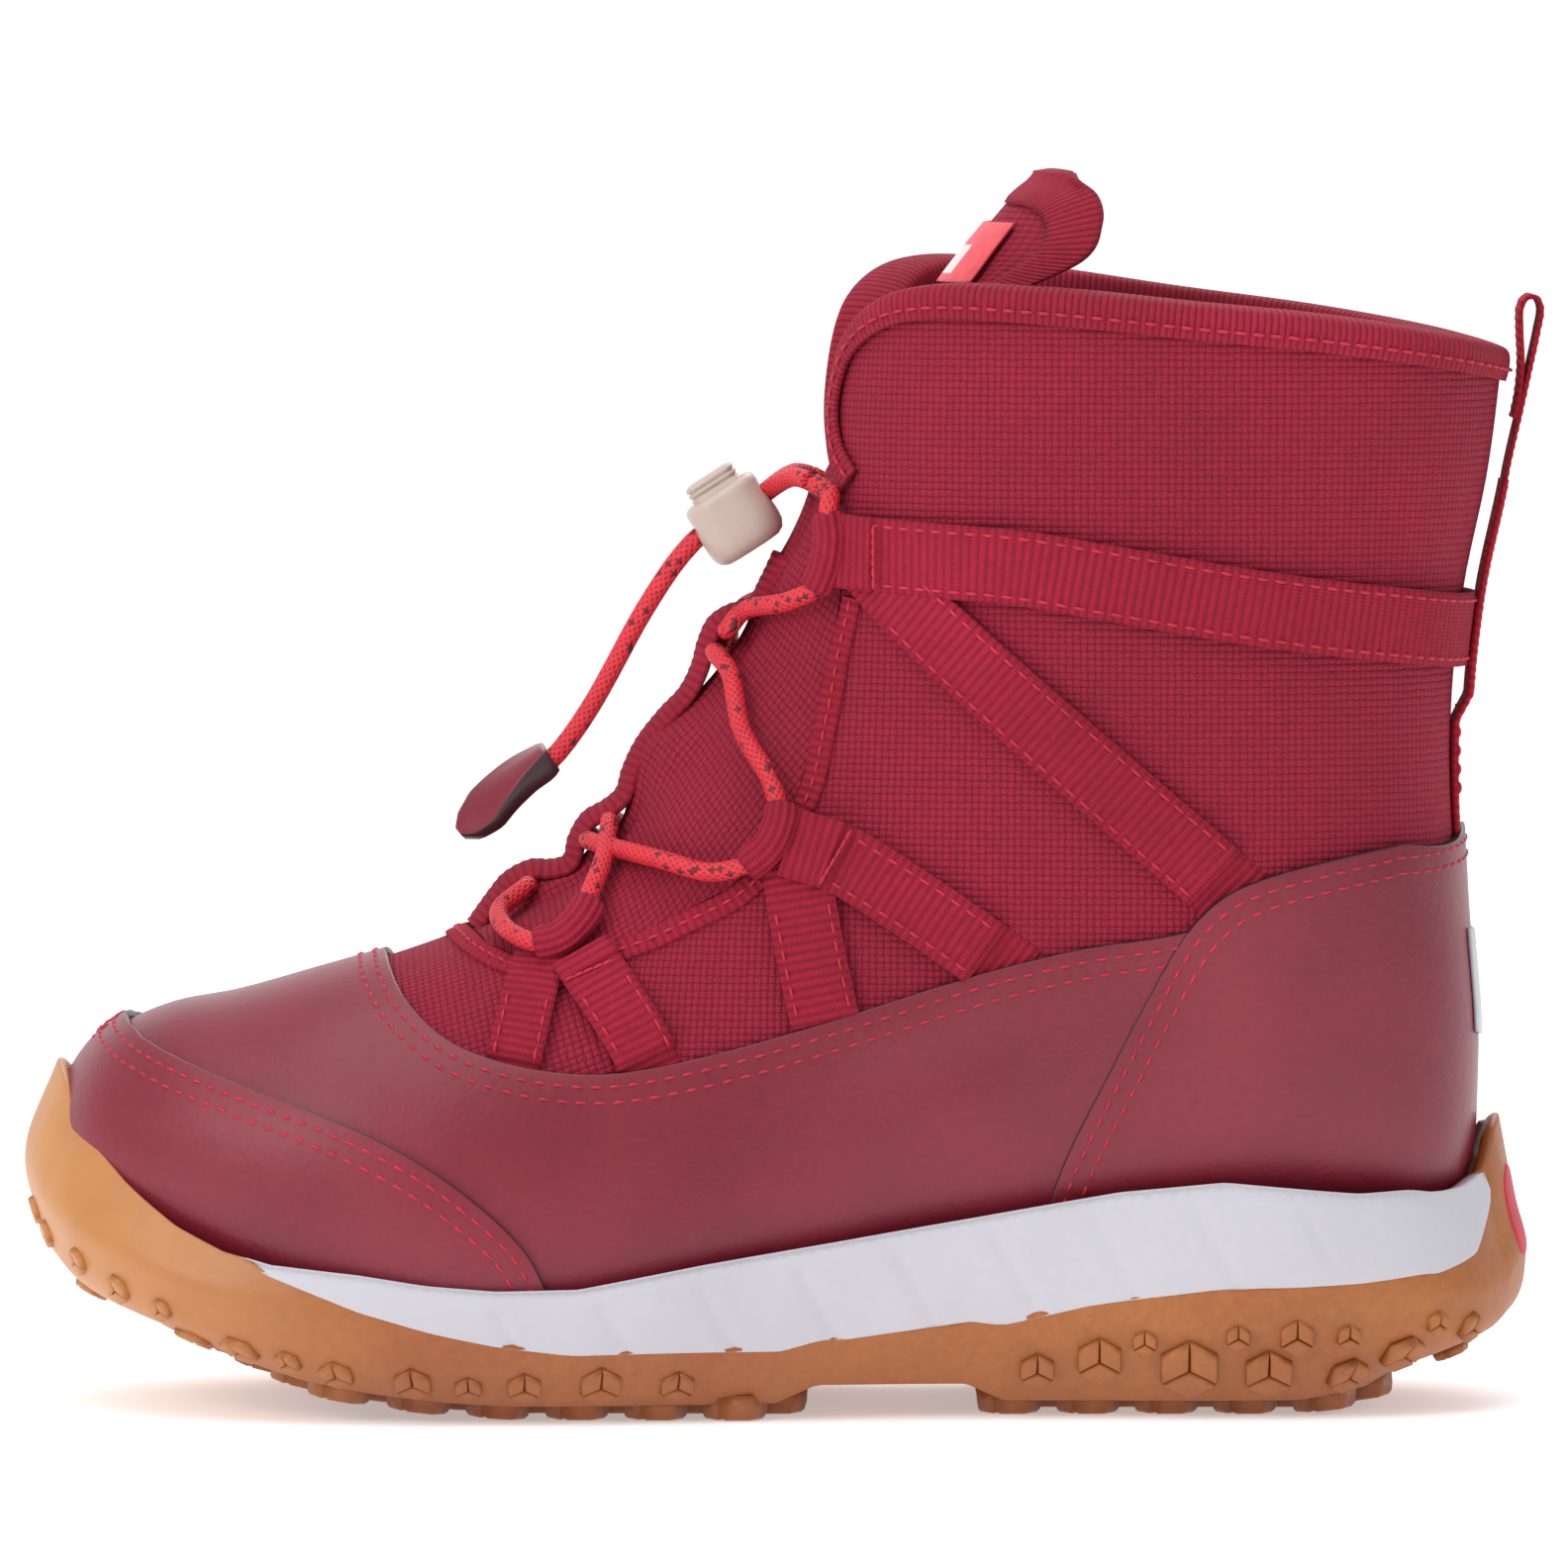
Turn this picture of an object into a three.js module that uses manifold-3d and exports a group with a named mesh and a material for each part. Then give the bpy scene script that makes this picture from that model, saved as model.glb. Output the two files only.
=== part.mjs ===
// Child's lace-up winter boot: left foot, toe toward -X, outer side toward -Y, ground at Z = 0.
// Lengths in millimetres.
import * as THREE from 'three';
import Module from 'manifold-3d';

const wasm = await Module();
wasm.setup();

// ---- driving dimensions -------------------------------------------------------------------
const RING = 18;              // points round one section of the upper
const GAP = 0.3;              // air left between neighbouring pieces
const WEBBING = 11;           // width of the woven straps
const CORD_RADIUS = 1.4;      // elastic lace, 2.8 mm
const BORE_RADIUS = 1.8;      // room the loops leave for the lace
const LAYER = {
  lining: [-7, -4.1],
  stiffener: [-3.8, -1.3],
  textile: [-1, 0],
  board: [-3.8, 0],
  tape: [0.2, 0.8],
  overlay: [0.3, 1.5],
  guard: [1.8, 3],
  strap: [1.1, 2.1],
  pull: [2.4, 3.4],
};

// Sections of the upper, from toe to collar. Each runs from a point on the front or top line to one on
// the bottom or back line: top x,z / bottom x,z / half width / centre y / height of the widest point /
// squareness above it / squareness below it.
const SECTIONS = [
  [-103.0, 41.5, -102.6, 33.0, 8.0, 7.0, 0.45, 2.0, 2.0],
  [-100.8, 47.6, -100.2, 27.4, 16.5, 6.6, 0.42, 2.1, 2.2],
  [-96.0, 53.0, -94.0, 22.2, 24.0, 5.2, 0.39, 2.2, 2.4],
  [-88.0, 56.8, -83.0, 18.2, 29.8, 3.4, 0.36, 2.2, 2.7],
  [-78.0, 58.9, -71.0, 15.3, 33.8, 1.4, 0.32, 2.2, 3.2],
  [-66.0, 62.4, -58.0, 13.0, 36.3, -0.4, 0.29, 2.2, 3.7],
  [-54.0, 66.0, -44.0, 11.6, 37.3, -1.3, 0.28, 2.1, 4.0],
  [-43.0, 70.2, -30.0, 11.8, 36.6, -1.4, 0.29, 2.1, 4.0],
  [-32.5, 75.6, -14.0, 13.2, 34.8, -1.0, 0.31, 2.1, 3.8],
  [-24.0, 82.5, 4.0, 15.6, 32.3, -0.5, 0.34, 2.1, 3.5],
  [-18.0, 92.0, 26.0, 18.6, 31.0, 0.0, 0.37, 2.1, 3.2],
  [-11.8, 102.5, 52.0, 21.2, 31.0, 0.0, 0.40, 2.1, 3.0],
  [-5.2, 112.5, 80.0, 22.8, 31.4, 0.0, 0.42, 2.1, 2.8],
  [-2.0, 120.0, 98.0, 29.0, 31.8, 0.0, 0.44, 2.1, 2.5],
  [2.0, 127.0, 101.4, 50.0, 32.6, 0.0, 0.46, 2.25, 2.3],
  [4.5, 133.0, 99.9, 74.0, 33.6, 0.0, 0.48, 2.3, 2.2],
  [6.0, 139.5, 98.9, 98.0, 34.6, 0.0, 0.49, 2.4, 2.2],
  [7.0, 147.0, 100.6, 118.0, 35.6, 0.0, 0.50, 2.5, 2.2],
  [8.0, 156.0, 104.2, 136.0, 36.4, 0.0, 0.50, 2.5, 2.2],
  [9.5, 166.0, 106.2, 152.0, 37.0, 0.0, 0.50, 2.5, 2.2],
  [12.0, 178.0, 107.4, 166.0, 37.4, 0.0, 0.50, 2.5, 2.2],
];

// ---- small tools ----------------------------------------------------------------------------
const V = (x, y, z) => new THREE.Vector3(x, y, z);

function solid(geometry) {
  const bare = geometry.index ? geometry.toNonIndexed() : geometry.clone();
  const seen = new Map();
  const points = [];
  const faces = [];
  const source = bare.attributes.position;
  for (let i = 0; i < source.count; i += 3) {
    const corner = [0, 1, 2].map((k) => {
      const p = [source.getX(i + k), source.getY(i + k), source.getZ(i + k)];
      const key = p.map((v) => Math.round(v * 1e4)).join(',');
      if (!seen.has(key)) {
        seen.set(key, points.length / 3);
        points.push(...p);
      }
      return seen.get(key);
    });
    if (new Set(corner).size === 3) faces.push(...corner);
  }
  return new wasm.Manifold(new wasm.Mesh({
    numProp: 3,
    vertProperties: new Float32Array(points),
    triVerts: new Uint32Array(faces),
  }));
}

function geometryOf(body) {
  const mesh = body.getMesh();
  const geometry = new THREE.BufferGeometry();
  geometry.setAttribute('position', new THREE.BufferAttribute(new Float32Array(mesh.vertProperties), 3));
  geometry.setIndex([...mesh.triVerts]);
  return geometry;
}

// A straight-sided block with the given side outline (x, z), reaching from y0 to y1.
function slab(outline, y0 = -60, y1 = 60, holes = []) {
  const shape = new THREE.Shape(outline.map(([x, z]) => new THREE.Vector2(x, z)));
  for (const hole of holes) shape.holes.push(new THREE.Path(hole.map(([x, z]) => new THREE.Vector2(x, z))));
  const geometry = new THREE.ExtrudeGeometry(shape, { depth: y1 - y0, bevelEnabled: false,
    curveSegments: 6 });
  geometry.rotateX(Math.PI / 2);
  geometry.translate(0, y1, 0);
  return solid(geometry);
}

// Rings of equal length joined one after the other, with the first and last ring closed flat across.
function ringLoft(rings) {
  const n = rings[0].length;
  const triangles = [];
  const push = (a, b, c) => triangles.push(...a, ...b, ...c);
  for (let i = 0; i + 1 < rings.length; i += 1) {
    for (let k = 0; k < n; k += 1) {
      const m = (k + 1) % n;
      push(rings[i][k], rings[i][m], rings[i + 1][m]);
      push(rings[i][k], rings[i + 1][m], rings[i + 1][k]);
    }
  }
  for (const [ring, turned] of [[rings[0], true], [rings[rings.length - 1], false]]) {
    for (let k = 0; k < n / 2; k += 1) {
      const [a, b, c, d] = [ring[k], ring[k + 1], ring[(n - k) % n], ring[n - k - 1]];
      if (turned) {
        if (k) push(a, c, b);
        if (k < n / 2 - 1) push(b, c, d);
      } else {
        if (k) push(a, b, c);
        if (k < n / 2 - 1) push(b, d, c);
      }
    }
  }
  const geometry = new THREE.BufferGeometry();
  geometry.setAttribute('position', new THREE.Float32BufferAttribute(triangles, 3));
  const body = solid(geometry);
  return body.volume() < 0 ? solid(flipped(geometry)) : body;
}

function flipped(geometry) {
  const copy = geometry.clone();
  const p = copy.attributes.position;
  for (let i = 0; i < p.count; i += 3) {
    for (const axis of ['X', 'Y', 'Z']) {
      const kept = p[`get${axis}`](i + 1);
      p[`set${axis}`](i + 1, p[`get${axis}`](i + 2));
      p[`set${axis}`](i + 2, kept);
    }
  }
  return copy;
}

function alongPath(points, radius, steps, sides = 8, closed = false) {
  const ring = new THREE.Shape();
  for (let k = 0; k < sides; k += 1) {
    const a = (2 * Math.PI * (k + 0.5)) / sides;
    if (k) ring.lineTo(radius * Math.cos(a), radius * Math.sin(a));
    else ring.moveTo(radius * Math.cos(a), radius * Math.sin(a));
  }
  const extrudePath = new THREE.CatmullRomCurve3(points.map((p) => V(...p)), closed, 'centripetal');
  return solid(new THREE.ExtrudeGeometry(ring, { steps, extrudePath, bevelEnabled: false }));
}

// The largest connected piece, without the slivers that a cut leaves behind.
function largest(shape) {
  return shape.decompose().reduce((a, b) => (a.volume() > b.volume() ? a : b));
}
const join = (bodies) => bodies.reduce((a, b) => a.add(b));

// The outline moved outwards by d all the way round.
function grow(outline, d) {
  const n = outline.length;
  const turn = Math.sign(THREE.ShapeUtils.area(outline.map(([x, z]) => new THREE.Vector2(x, z))));
  return outline.map(([x, z], i) => {
    const [px, pz] = outline[(i + n - 1) % n];
    const [qx, qz] = outline[(i + 1) % n];
    const a = new THREE.Vector2(z - pz, px - x).normalize();
    const b = new THREE.Vector2(qz - z, x - qx).normalize();
    const out = a.clone().add(b).normalize();
    const reach = (turn * d) / Math.max(out.dot(a), 0.4);
    return [x + out.x * reach, z + out.y * reach];
  });
}

// ---- the shape of the upper -------------------------------------------------------------------
const power = (v, e) => Math.sign(v) * Math.abs(v) ** e;

function sectionPoint(section, turn) {
  const [tx, tz, bx, bz, half, centre, widest, above, below] = section;
  const c = Math.cos(turn);
  const e = 2 / (c >= 0 ? above : below);
  const reach = c >= 0 ? 1 - widest : widest;
  const f = widest + power(c, e) * reach;
  return [bx + f * (tx - bx), centre - half * power(Math.sin(turn), e), bz + f * (tz - bz)];
}

const skinRings = SECTIONS.map((s) => {
  const turns = Array.from({ length: RING }, (_, k) => (2 * Math.PI * k) / RING);
  return turns.map((turn) => sectionPoint(s, turn));
});

function middleOf(ring) {
  const sum = ring.reduce((a, p) => a.add(V(...p)), V(0, 0, 0));
  return sum.multiplyScalar(1 / ring.length);
}

// Outward direction at every point of the skin, from the neighbours along and around it. The small ring
// at the tip of the toe faces mostly forward.
const skinNormals = skinRings.map((ring, i) => ring.map((p, k) => {
  const before = skinRings[Math.max(i - 1, 0)][k];
  const after = skinRings[Math.min(i + 1, skinRings.length - 1)][k];
  const left = ring[(k + RING - 1) % RING];
  const right = ring[(k + 1) % RING];
  const out = V(...after).sub(V(...before)).cross(V(...right).sub(V(...left))).normalize();
  if (out.dot(V(...p).sub(middleOf(ring))) < 0) out.negate();
  return i === 0 ? out.multiplyScalar(0.3).add(V(-1, 0, 0)) : out;
}));

const bodies = new Map();
function body(offset) {
  if (!bodies.has(offset)) {
    bodies.set(offset, ringLoft(skinRings.map((ring, i) => ring.map((p, k) => {
      const n = skinNormals[i][k];
      return [p[0] + n.x * offset, p[1] + n.y * offset, p[2] + n.z * offset];
    }))));
  }
  return bodies.get(offset);
}

const shell = ([inner, outer]) => body(outer).subtract(body(inner));

// Side of the upper at a point of the side view: y there, `out` mm off the skin.
function sideY(x, z, out, side) {
  const across = (s) => (s[0] - s[2]) * (z - s[3]) - (s[1] - s[3]) * (x - s[2]);
  let i = 0;
  while (i < SECTIONS.length - 2 && across(SECTIONS[i + 1]) < 0) i += 1;
  const a = across(SECTIONS[i]);
  const b = across(SECTIONS[i + 1]);
  const t = Math.min(Math.max(a / (a - b), 0), 1);
  const s = SECTIONS[i].map((v, k) => v + t * (SECTIONS[i + 1][k] - v));
  const [tx, tz, bx, bz, half, centre, widest, above, below] = s;
  const f = ((x - bx) * (tx - bx) + (z - bz) * (tz - bz)) / ((tx - bx) ** 2 + (tz - bz) ** 2);
  const up = f >= widest;
  const r = Math.min(Math.abs((f - widest) / (up ? 1 - widest : widest)), 1);
  const e = up ? above : below;
  return centre + side * ((half * (1 - r ** e) ** (1 / e)) + out);
}

// ---- outlines in the side view (x, z) ----------------------------------------------------------
const BOARD_LINE = [
  [-130, 26], [-96, 25.4], [-88, 21.8], [-78, 18.9], [-66, 16.4], [-54, 14.6], [-40, 13.9], [-28, 14.2],
  [-10, 16], [8, 18.4], [30, 21.3], [56, 23.7], [78, 25], [90, 26.6], [97, 29.5], [130, 30],
];
const aboveBoard = slab([...BOARD_LINE.map(([x, z]) => [x, z + GAP / 2]), [130, 220], [-130, 220]]);
const belowBoard = slab([...BOARD_LINE.map(([x, z]) => [x, z - GAP / 2]), [130, -20], [-130, -20]]);

// Edge of the throat and of the collar, from the centre line over the toes to the back of the heel.
const THROAT = [
  [-46.5, 74], [-45.5, 70.2], [-42, 67.6], [-36, 65.6], [-30, 66], [-24, 68], [-15, 71.6], [-6, 76.3],
  [0, 82.5], [3.5, 90], [6, 100], [8, 110], [10, 120], [10.2, 131],
];
const COLLAR = [[8.6, 138], [8.4, 147], [10.5, 156], [15, 161.2], [22, 163.2], [40, 162.6], [60, 160.6],
  [80, 158.6], [95, 156.4], [108, 153]];
const UPPER_EDGE = [...THROAT, ...COLLAR];
const upperArea = slab([[-130, 74], ...UPPER_EDGE, [130, 152.5], [130, -20], [-130, -20]]);

// ---- sole unit ----------------------------------------------------------------------------------
const PLAN = [
  [-110.0, 7], [-107.6, -8], [-101, -22.5], [-89.5, -33], [-75, -39.3], [-58, -42.6], [-40, -43],
    [-20, -41.2],
  [0, -37.6], [20, -34.8], [42, -34], [64, -34.6], [82, -33.4], [96, -27.5], [105, -17], [110.2, 0],
  [105, 17], [96, 27.5], [82, 33], [64, 33.4], [42, 31.6], [20, 30.4], [0, 32.2], [-20, 36.8],
  [-40, 40.6], [-58, 41.5], [-75, 40.2], [-89.5, 37.2], [-101, 31], [-107.6, 21.5],
];
const UNDERSIDE = [[-112, 22], [-96, 14.6], [-88, 11.6], [-78, 8.6], [-68, 6], [-58, 4.2], [-48, 3],
  [-38, 2.4],
  [0, 2.3], [6, 4.9], [28, 4.9], [33, 2.3], [76, 2.3], [86, 3.4], [95, 5.8], [104, 9.6], [112, 14]];
const SOLE_TOP = [[-111, 51], [-108.5, 47], [-106, 42], [-102, 38], [-97, 33.8], [-88, 27.5], [-80, 23.2],
  [-73, 21], [-60, 19.7], [-50, 18.2], [-40, 17.4], [-28, 17.6], [-10, 20.9], [10, 24.1], [30, 27.5],
  [50, 31], [65, 32.4], [85, 30.6], [97, 31], [104, 32.6], [107, 34], [109, 40], [111, 43]];
const INSETS = {
  toe: [20, 5.5, 1.0, 0, 4.6],
  side: [6, 2.2, 0.5, 0, 0.8],
  heel: [18.5, 3.2, 0, 1.8, 4],
};
const RISE = [0, 0.21, 0.45, 0.68, 1];

function heightAt(line, x) {
  let i = 0;
  while (i < line.length - 2 && x > line[i + 1][0]) i += 1;
  const t = Math.min(Math.max((x - line[i][0]) / (line[i + 1][0] - line[i][0]), 0), 1);
  return line[i][1] + t * (line[i + 1][1] - line[i][1]);
}
const ease = (v) => THREE.MathUtils.smoothstep(v, 0, 1);

function soleBody(outset) {
  const n = PLAN.length;
  const rings = RISE.map((rise, level) => PLAN.map(([x, y], k) => {
    const before = PLAN[(k + n - 1) % n];
    const after = PLAN[(k + 1) % n];
    const out = V(-(after[1] - before[1]), after[0] - before[0], 0).normalize().multiplyScalar(-1);
    const toe = ease((-64 - x) / 46);
    const heel = ease((x - 76) / 34);
    const mix = (i) => INSETS.side[i] + toe * (INSETS.toe[i] - INSETS.side[i])
      + heel * (INSETS.heel[i] - INSETS.side[i]);
    const back = outset - mix(level);
    const foot = heightAt(UNDERSIDE, x - out.x * mix(0));
    const top = heightAt(SOLE_TOP, x);
    return [x + out.x * back, y + out.y * back, foot + rise * (top - foot)];
  }));
  return ringLoft(rings);
}

function hexagon(x, z, radius) {
  return Array.from({ length: 6 }, (_, k) => {
    const a = (Math.PI * k) / 3;
    return [x + radius * Math.cos(a), z + radius * 0.86 * Math.sin(a)];
  });
}

const MIDSOLE = [
  [-77.3, 22.6], [-73, 21.8], [-60, 20.5], [-50, 19], [-40, 18.2], [-28, 18.4], [-10, 21.7], [10, 24.9],
    [30, 28.3],
  [50, 31.8], [65, 33.2], [85, 31.4], [97, 31.8], [103.4, 33.4], [104.4, 29.5], [102, 21.5], [96, 19.2],
    [80, 18],
  [60, 17], [45, 15], [30, 12.6], [10, 10.3], [-10, 8.8], [-30, 8.7], [-45, 11], [-60, 15], [-73, 20],
];
const TOE_GUARD_EDGE = [[-98, 66], [-95.5, 57.5], [-93.5, 53.5], [-85, 49.5], [-75, 46.3], [-65, 43.2],
  [-55, 39],
  [-45, 33], [-36, 24.5], [-31.5, 15], [-31.5, 8]];
const toeGuardArea = slab([[-130, 66], ...TOE_GUARD_EDGE, [-130, 8]]);
const seat = body(0.3).add(body(1.8).intersect(aboveBoard)).add(body(3.3).intersect(toeGuardArea)
  .intersect(aboveBoard));

const SIDE_LUGS = [
  [47, 8, 3.2], [60, 8, 4.4], [72, 7.5, 3.6], [84, 8, 3.6], [-84, 14.5, 3.2], [-72, 11, 3.2], [-60, 8, 3.2],
  [-46, 5.4, 2.8],
];
const GRID_X = 18;
const GRID_Y = 17;
function treadLugs() {
  const lugs = [];
  for (let row = -1; row <= 1; row += 1) {
    for (let column = -4; column <= 4; column += 1) {
      const x = column * GRID_X + (row % 2 ? GRID_X / 2 : 0);
      const y = row * GRID_Y;
      const inArch = x > 0 && x < 34;
      if (inArch) continue;
      const base = heightAt(UNDERSIDE, x);
      const shape = new THREE.Shape(hexagon(x, y, 6).map(([a, b]) => new THREE.Vector2(a, b)));
      const lug = new THREE.ExtrudeGeometry(shape, { depth: 4.3, bevelEnabled: false });
      lug.translate(0, 0, base - 2.3);
      lugs.push(solid(lug));
    }
  }
  return join(lugs);
}

const soleCore = soleBody(0);
const midsoleArea = slab(MIDSOLE);
const midsoleRoom = slab(grow(MIDSOLE, GAP));
const midsole = soleCore.intersect(midsoleArea).subtract(seat);
const sideLugs = join(SIDE_LUGS.map(([x, z, r]) => slab(hexagon(x, z, r), -60, 60)))
  .intersect(soleBody(1.2));
const badgeBox = (extra) => slab([[104 - extra, 29.8 - extra], [130, 29.8 - extra], [130, 37.4 + extra],
  [104 - extra, 37.4 + extra]], -5.5 - extra, 5.5 + extra);
const badge = badgeBox(0).intersect(soleBody(0.3)).subtract(soleBody(-0.9));
const badgeRoom = badgeBox(GAP).subtract(soleBody(-1.2));
const outsole = soleCore.add(sideLugs).add(treadLugs()).subtract(midsoleRoom).subtract(seat)
  .subtract(badgeRoom);

// ---- upper panels -----------------------------------------------------------------------------
const MUDGUARD_EDGE = [[-57, 80], [-57, 65.5], [-54, 60], [-50, 56], [-45, 53], [-35, 50.3], [-25, 49.6],
  [-15, 51],
  [0, 54.8], [15, 59.5], [30, 64.3], [45, 68], [57.2, 69.6]];
const HEEL_EDGE = [[38.5, 27], [42, 37], [48, 49], [54, 60.5], [59.5, 70], [65, 75.5], [71, 78.2],
  [80, 80.5],
  [90, 82.5], [130, 90]];
const mudguardArea = slab([[-130, 80], ...MUDGUARD_EDGE, ...HEEL_EDGE.slice(0,
  5).reverse().map(([x, z]) => [x - GAP, z]),
  [38.2, 8], [-130, 8]]);
const heelArea = slab([[38.5, 8], ...HEEL_EDGE, [130, 8]]);
const leftHalf = slab([[-130, -20], [130, -20], [130, 220], [-130, 220]], -60, -GAP / 2);
const rightHalf = slab([[-130, -20], [130, -20], [130, 220], [-130, 220]], GAP / 2, 60);

const toeGuard = shell(LAYER.guard).intersect(toeGuardArea).intersect(aboveBoard);
const mudguard = shell(LAYER.overlay).intersect(mudguardArea).intersect(aboveBoard);
const heelOverlay = shell(LAYER.overlay).intersect(heelArea).intersect(aboveBoard);
const reflector = shell(LAYER.guard).intersect(slab([[90, 55], [130, 55], [130, 69], [90, 69]], -6, 6));

const VAMP_SEAM = [[-30, 90], [-22, 60], [-8, 10]];
const vampArea = slab([[-130, 90], ...VAMP_SEAM, [-130, 10]]);
const quarterArea = slab([[130, 190], [-29.7, 190], ...VAMP_SEAM.map(([x, z]) => [x + GAP, z]), [-8
  + GAP, 8], [130, 8]]);

// The front opening of the shaft, seen from the front (y, z).
function frontSlab(outline, x0 = -100, x1 = 100) {
  const shape = new THREE.Shape(outline.map(([y, z]) => new THREE.Vector2(y, z)));
  const geometry = new THREE.ExtrudeGeometry(shape, { depth: x1 - x0, bevelEnabled: false });
  geometry.rotateX(Math.PI / 2);
  geometry.rotateZ(Math.PI / 2);
  geometry.translate(x0, 0, 0);
  return solid(geometry);
}
const GATE = [[17, 126], [16, 133], [13.2, 142], [13.2, 151], [16, 156], [20, 160.5], [28, 170], [28, 190]];
const frontGate = (shrink) => frontSlab(
  [...GATE.map(([y, z]) => [-y + shrink, z]),
    ...[...GATE].reverse().map(([y, z]) => [y - shrink, z])], -60, 45);
const openFront = frontGate(0);
const textile = shell(LAYER.textile).intersect(upperArea).subtract(openFront).intersect(aboveBoard);
const vamp = textile.intersect(vampArea);
const quarters = textile.intersect(quarterArea);

const lining = shell(LAYER.lining).intersect(upperArea).subtract(openFront);
const board = shell(LAYER.board).intersect(belowBoard);
const stiffener = shell(LAYER.stiffener).intersect(upperArea).intersect(aboveBoard).subtract(openFront);
const toePuff = stiffener.intersect(slab([[-130, 60], [-84, 64], [-76, 10], [-130, 10]]));
const COUNTER_TOP = [[62, 10], [66, 60], [80, 84], [130, 92]];
const heelCounter = stiffener.intersect(slab([...COUNTER_TOP, [130, 10]]));
const collarFoam = stiffener.intersect(slab([[-10, 96], [30, 90], [66, 88], [80, 85], [130, 93],
  [130, 190], [-10, 190]]));
const insole = body(-7.3).intersect(slab([
  ...BOARD_LINE.map(([x, z]) => [x, z + (x < -90 ? 9.5 : 9)]), [130, 0], [-130, 0]]));

// ---- tapes along the edges -----------------------------------------------------------------------
const bindingArea = slab([
  ...[[10.2, 133.6], ...COLLAR], [130, 152.5],
  [130, 148], [107, 148.5], [100, 150.3], [90, 152.5], [80, 154.8], [70, 156.8], [55, 158.5], [40, 159.6],
  [22, 160], [18, 159.2], [14.8, 156.8], [12.4, 152], [11.8, 147], [12, 138], [13, 133.6],
]);
const collarBinding = shell(LAYER.strap).intersect(bindingArea);
const TAPE_INNER = [[13.6, 118.6], [11.6, 109.6], [9.7, 99.5], [7.3, 89.2], [3, 80.4], [-4.5, 73.4],
  [-14, 68.2],
  [-24, 64.3], [-30, 62.4], [-37, 62], [-44, 64], [-49.5, 67.5], [-50.5, 74]];
const tapeArea = slab([...THROAT.slice(0, 12), [9.8, 118.6], ...TAPE_INNER]);

// ---- straps ------------------------------------------------------------------------------------
const ANKLE_TOP = [[9.6, 130.6], [30, 129.5], [50, 126.3], [70, 123], [90, 120.3], [130, 117.5]];
const ANKLE_BOTTOM = [[130, 106.5], [101, 108.5], [80, 110.5], [60, 113.5], [35, 118], [16, 119.5],
  [9.6, 119.6]];
const DIAGONAL = [[16, 118.9], [20, 108], [30, 100], [40, 91.5], [50, 84], [59, 75.6], [65, 76],
  [69, 77.9], [60, 90],
  [50, 99], [40, 108], [30.5, 117.8]];
const MID_LONG = [[2.5, 86.5], [9, 84.5], [20, 78.5], [30, 71.5], [36, 66.6], [26.5, 63.6], [20, 66.5],
  [10.5, 73.6], [3, 77.5], [-3.8, 77.6]];
const MID_SHORT = [[8.6, 78.4], [-2.6, 78.4], [-1, 67], [1.2, 58], [2, 55.9], [13, 59.4], [11, 67],
  [9.6, 73.7]];
const LOW_LONG = [[-29.5, 62], [-28, 58], [-24, 50.1], [-13.4, 51.9], [-17, 58.5], [-21, 66.4],
  [-25.2, 67.2], [-29.2, 65.8]];
const LOW_SHORT = [[-30, 65.7], [-36, 65.3], [-37.6, 61], [-40.6, 52], [-32.5, 50.4], [-30, 59.5],
  [-29.9, 61.8]];
const strapShell = shell(LAYER.strap);
const ankleStrap = strapShell.intersect(slab([...ANKLE_TOP, ...ANKLE_BOTTOM]));

// Folded end of a strap: a thick hem lying on the upper, with the lace running through it.
function hem(outline, inner, outer) {
  return body(outer).subtract(body(inner)).intersect(slab(outline));
}
const throatTape = shell(LAYER.tape).intersect(tapeArea);
const ankleHem = hem([[6.6, 120], [13, 120], [15, 130.2], [10.5, 130.2]], 1.1, 5.7);
const midHem = hem([[1.8, 87.3], [7.5, 83.6], [2.8, 77.3], [-5.6, 77.8]], 1.1, 5.7);
const lowHem = hem([[-36.5, 69], [-27.5, 72], [-22.8, 66.6], [-30, 62.2], [-34.8, 62.2]], 1.1, 5.7);

// ---- lace --------------------------------------------------------------------------------------
// Points of one side: x, z and the distance off the skin; side -1 is the outer side.
const onSide = (points, side) => points.map(([x, z, out]) => [x, sideY(x, z, out, side), z]);
const ankleRun = [[10.6, 131.4, 3.5], [10.2, 125.5, 3.3], [8.6, 120, 3.3], [4, 117.2, 2.8], [-3, 115, 2.0]];
const midRun = [[-5, 106, 2.2], [-3.4, 98, 2.8], [0.6, 90.6, 3], [1.4, 85, 3.3], [-2, 80, 3.3],
  [-8, 78, 2.8], [-15, 79.4, 2.2]];
const lowRun = [[-23.5, 78.5, 2.4], [-25.6, 73.5, 3], [-27.5, 69.6, 3.3], [-32.5, 66.4, 3.3],
  [-37, 67.4, 2.9], [-39.2, 70.6, 2.2]];
const LOOP_3 = { high: [-6.7, 113.3], low: [-8.6, 109.7] };
const LOOP_2 = { high: [-24.1, 84.9], low: [-26.9, 82.3] };
const LOOP_1 = [-36.2, 75.6];
const across = (point, side) => [[point[0], side * 6.5, point[1]], [point[0], 0, point[1]],
  [point[0], -side * 6.5, point[1]]];
const looseEnd = (side) => [[5.7, side * 15, 134.9], [8.2, side * 17.7, 133.3]];
const lacePath = [
  ...looseEnd(-1), ...onSide(ankleRun, -1), ...across(LOOP_3.high, -1),
  ...onSide(midRun, 1), ...across(LOOP_2.high, 1),
  ...onSide(lowRun, -1), ...across(LOOP_1, -1),
  ...onSide([...lowRun].reverse(), 1), ...across(LOOP_2.low, 1),
  ...onSide([...midRun].reverse(), -1), ...across(LOOP_3.low, -1),
  ...onSide([...ankleRun].reverse(), 1), ...looseEnd(1).reverse(),
];
const lace = alongPath(lacePath, CORD_RADIUS, 92);
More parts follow.
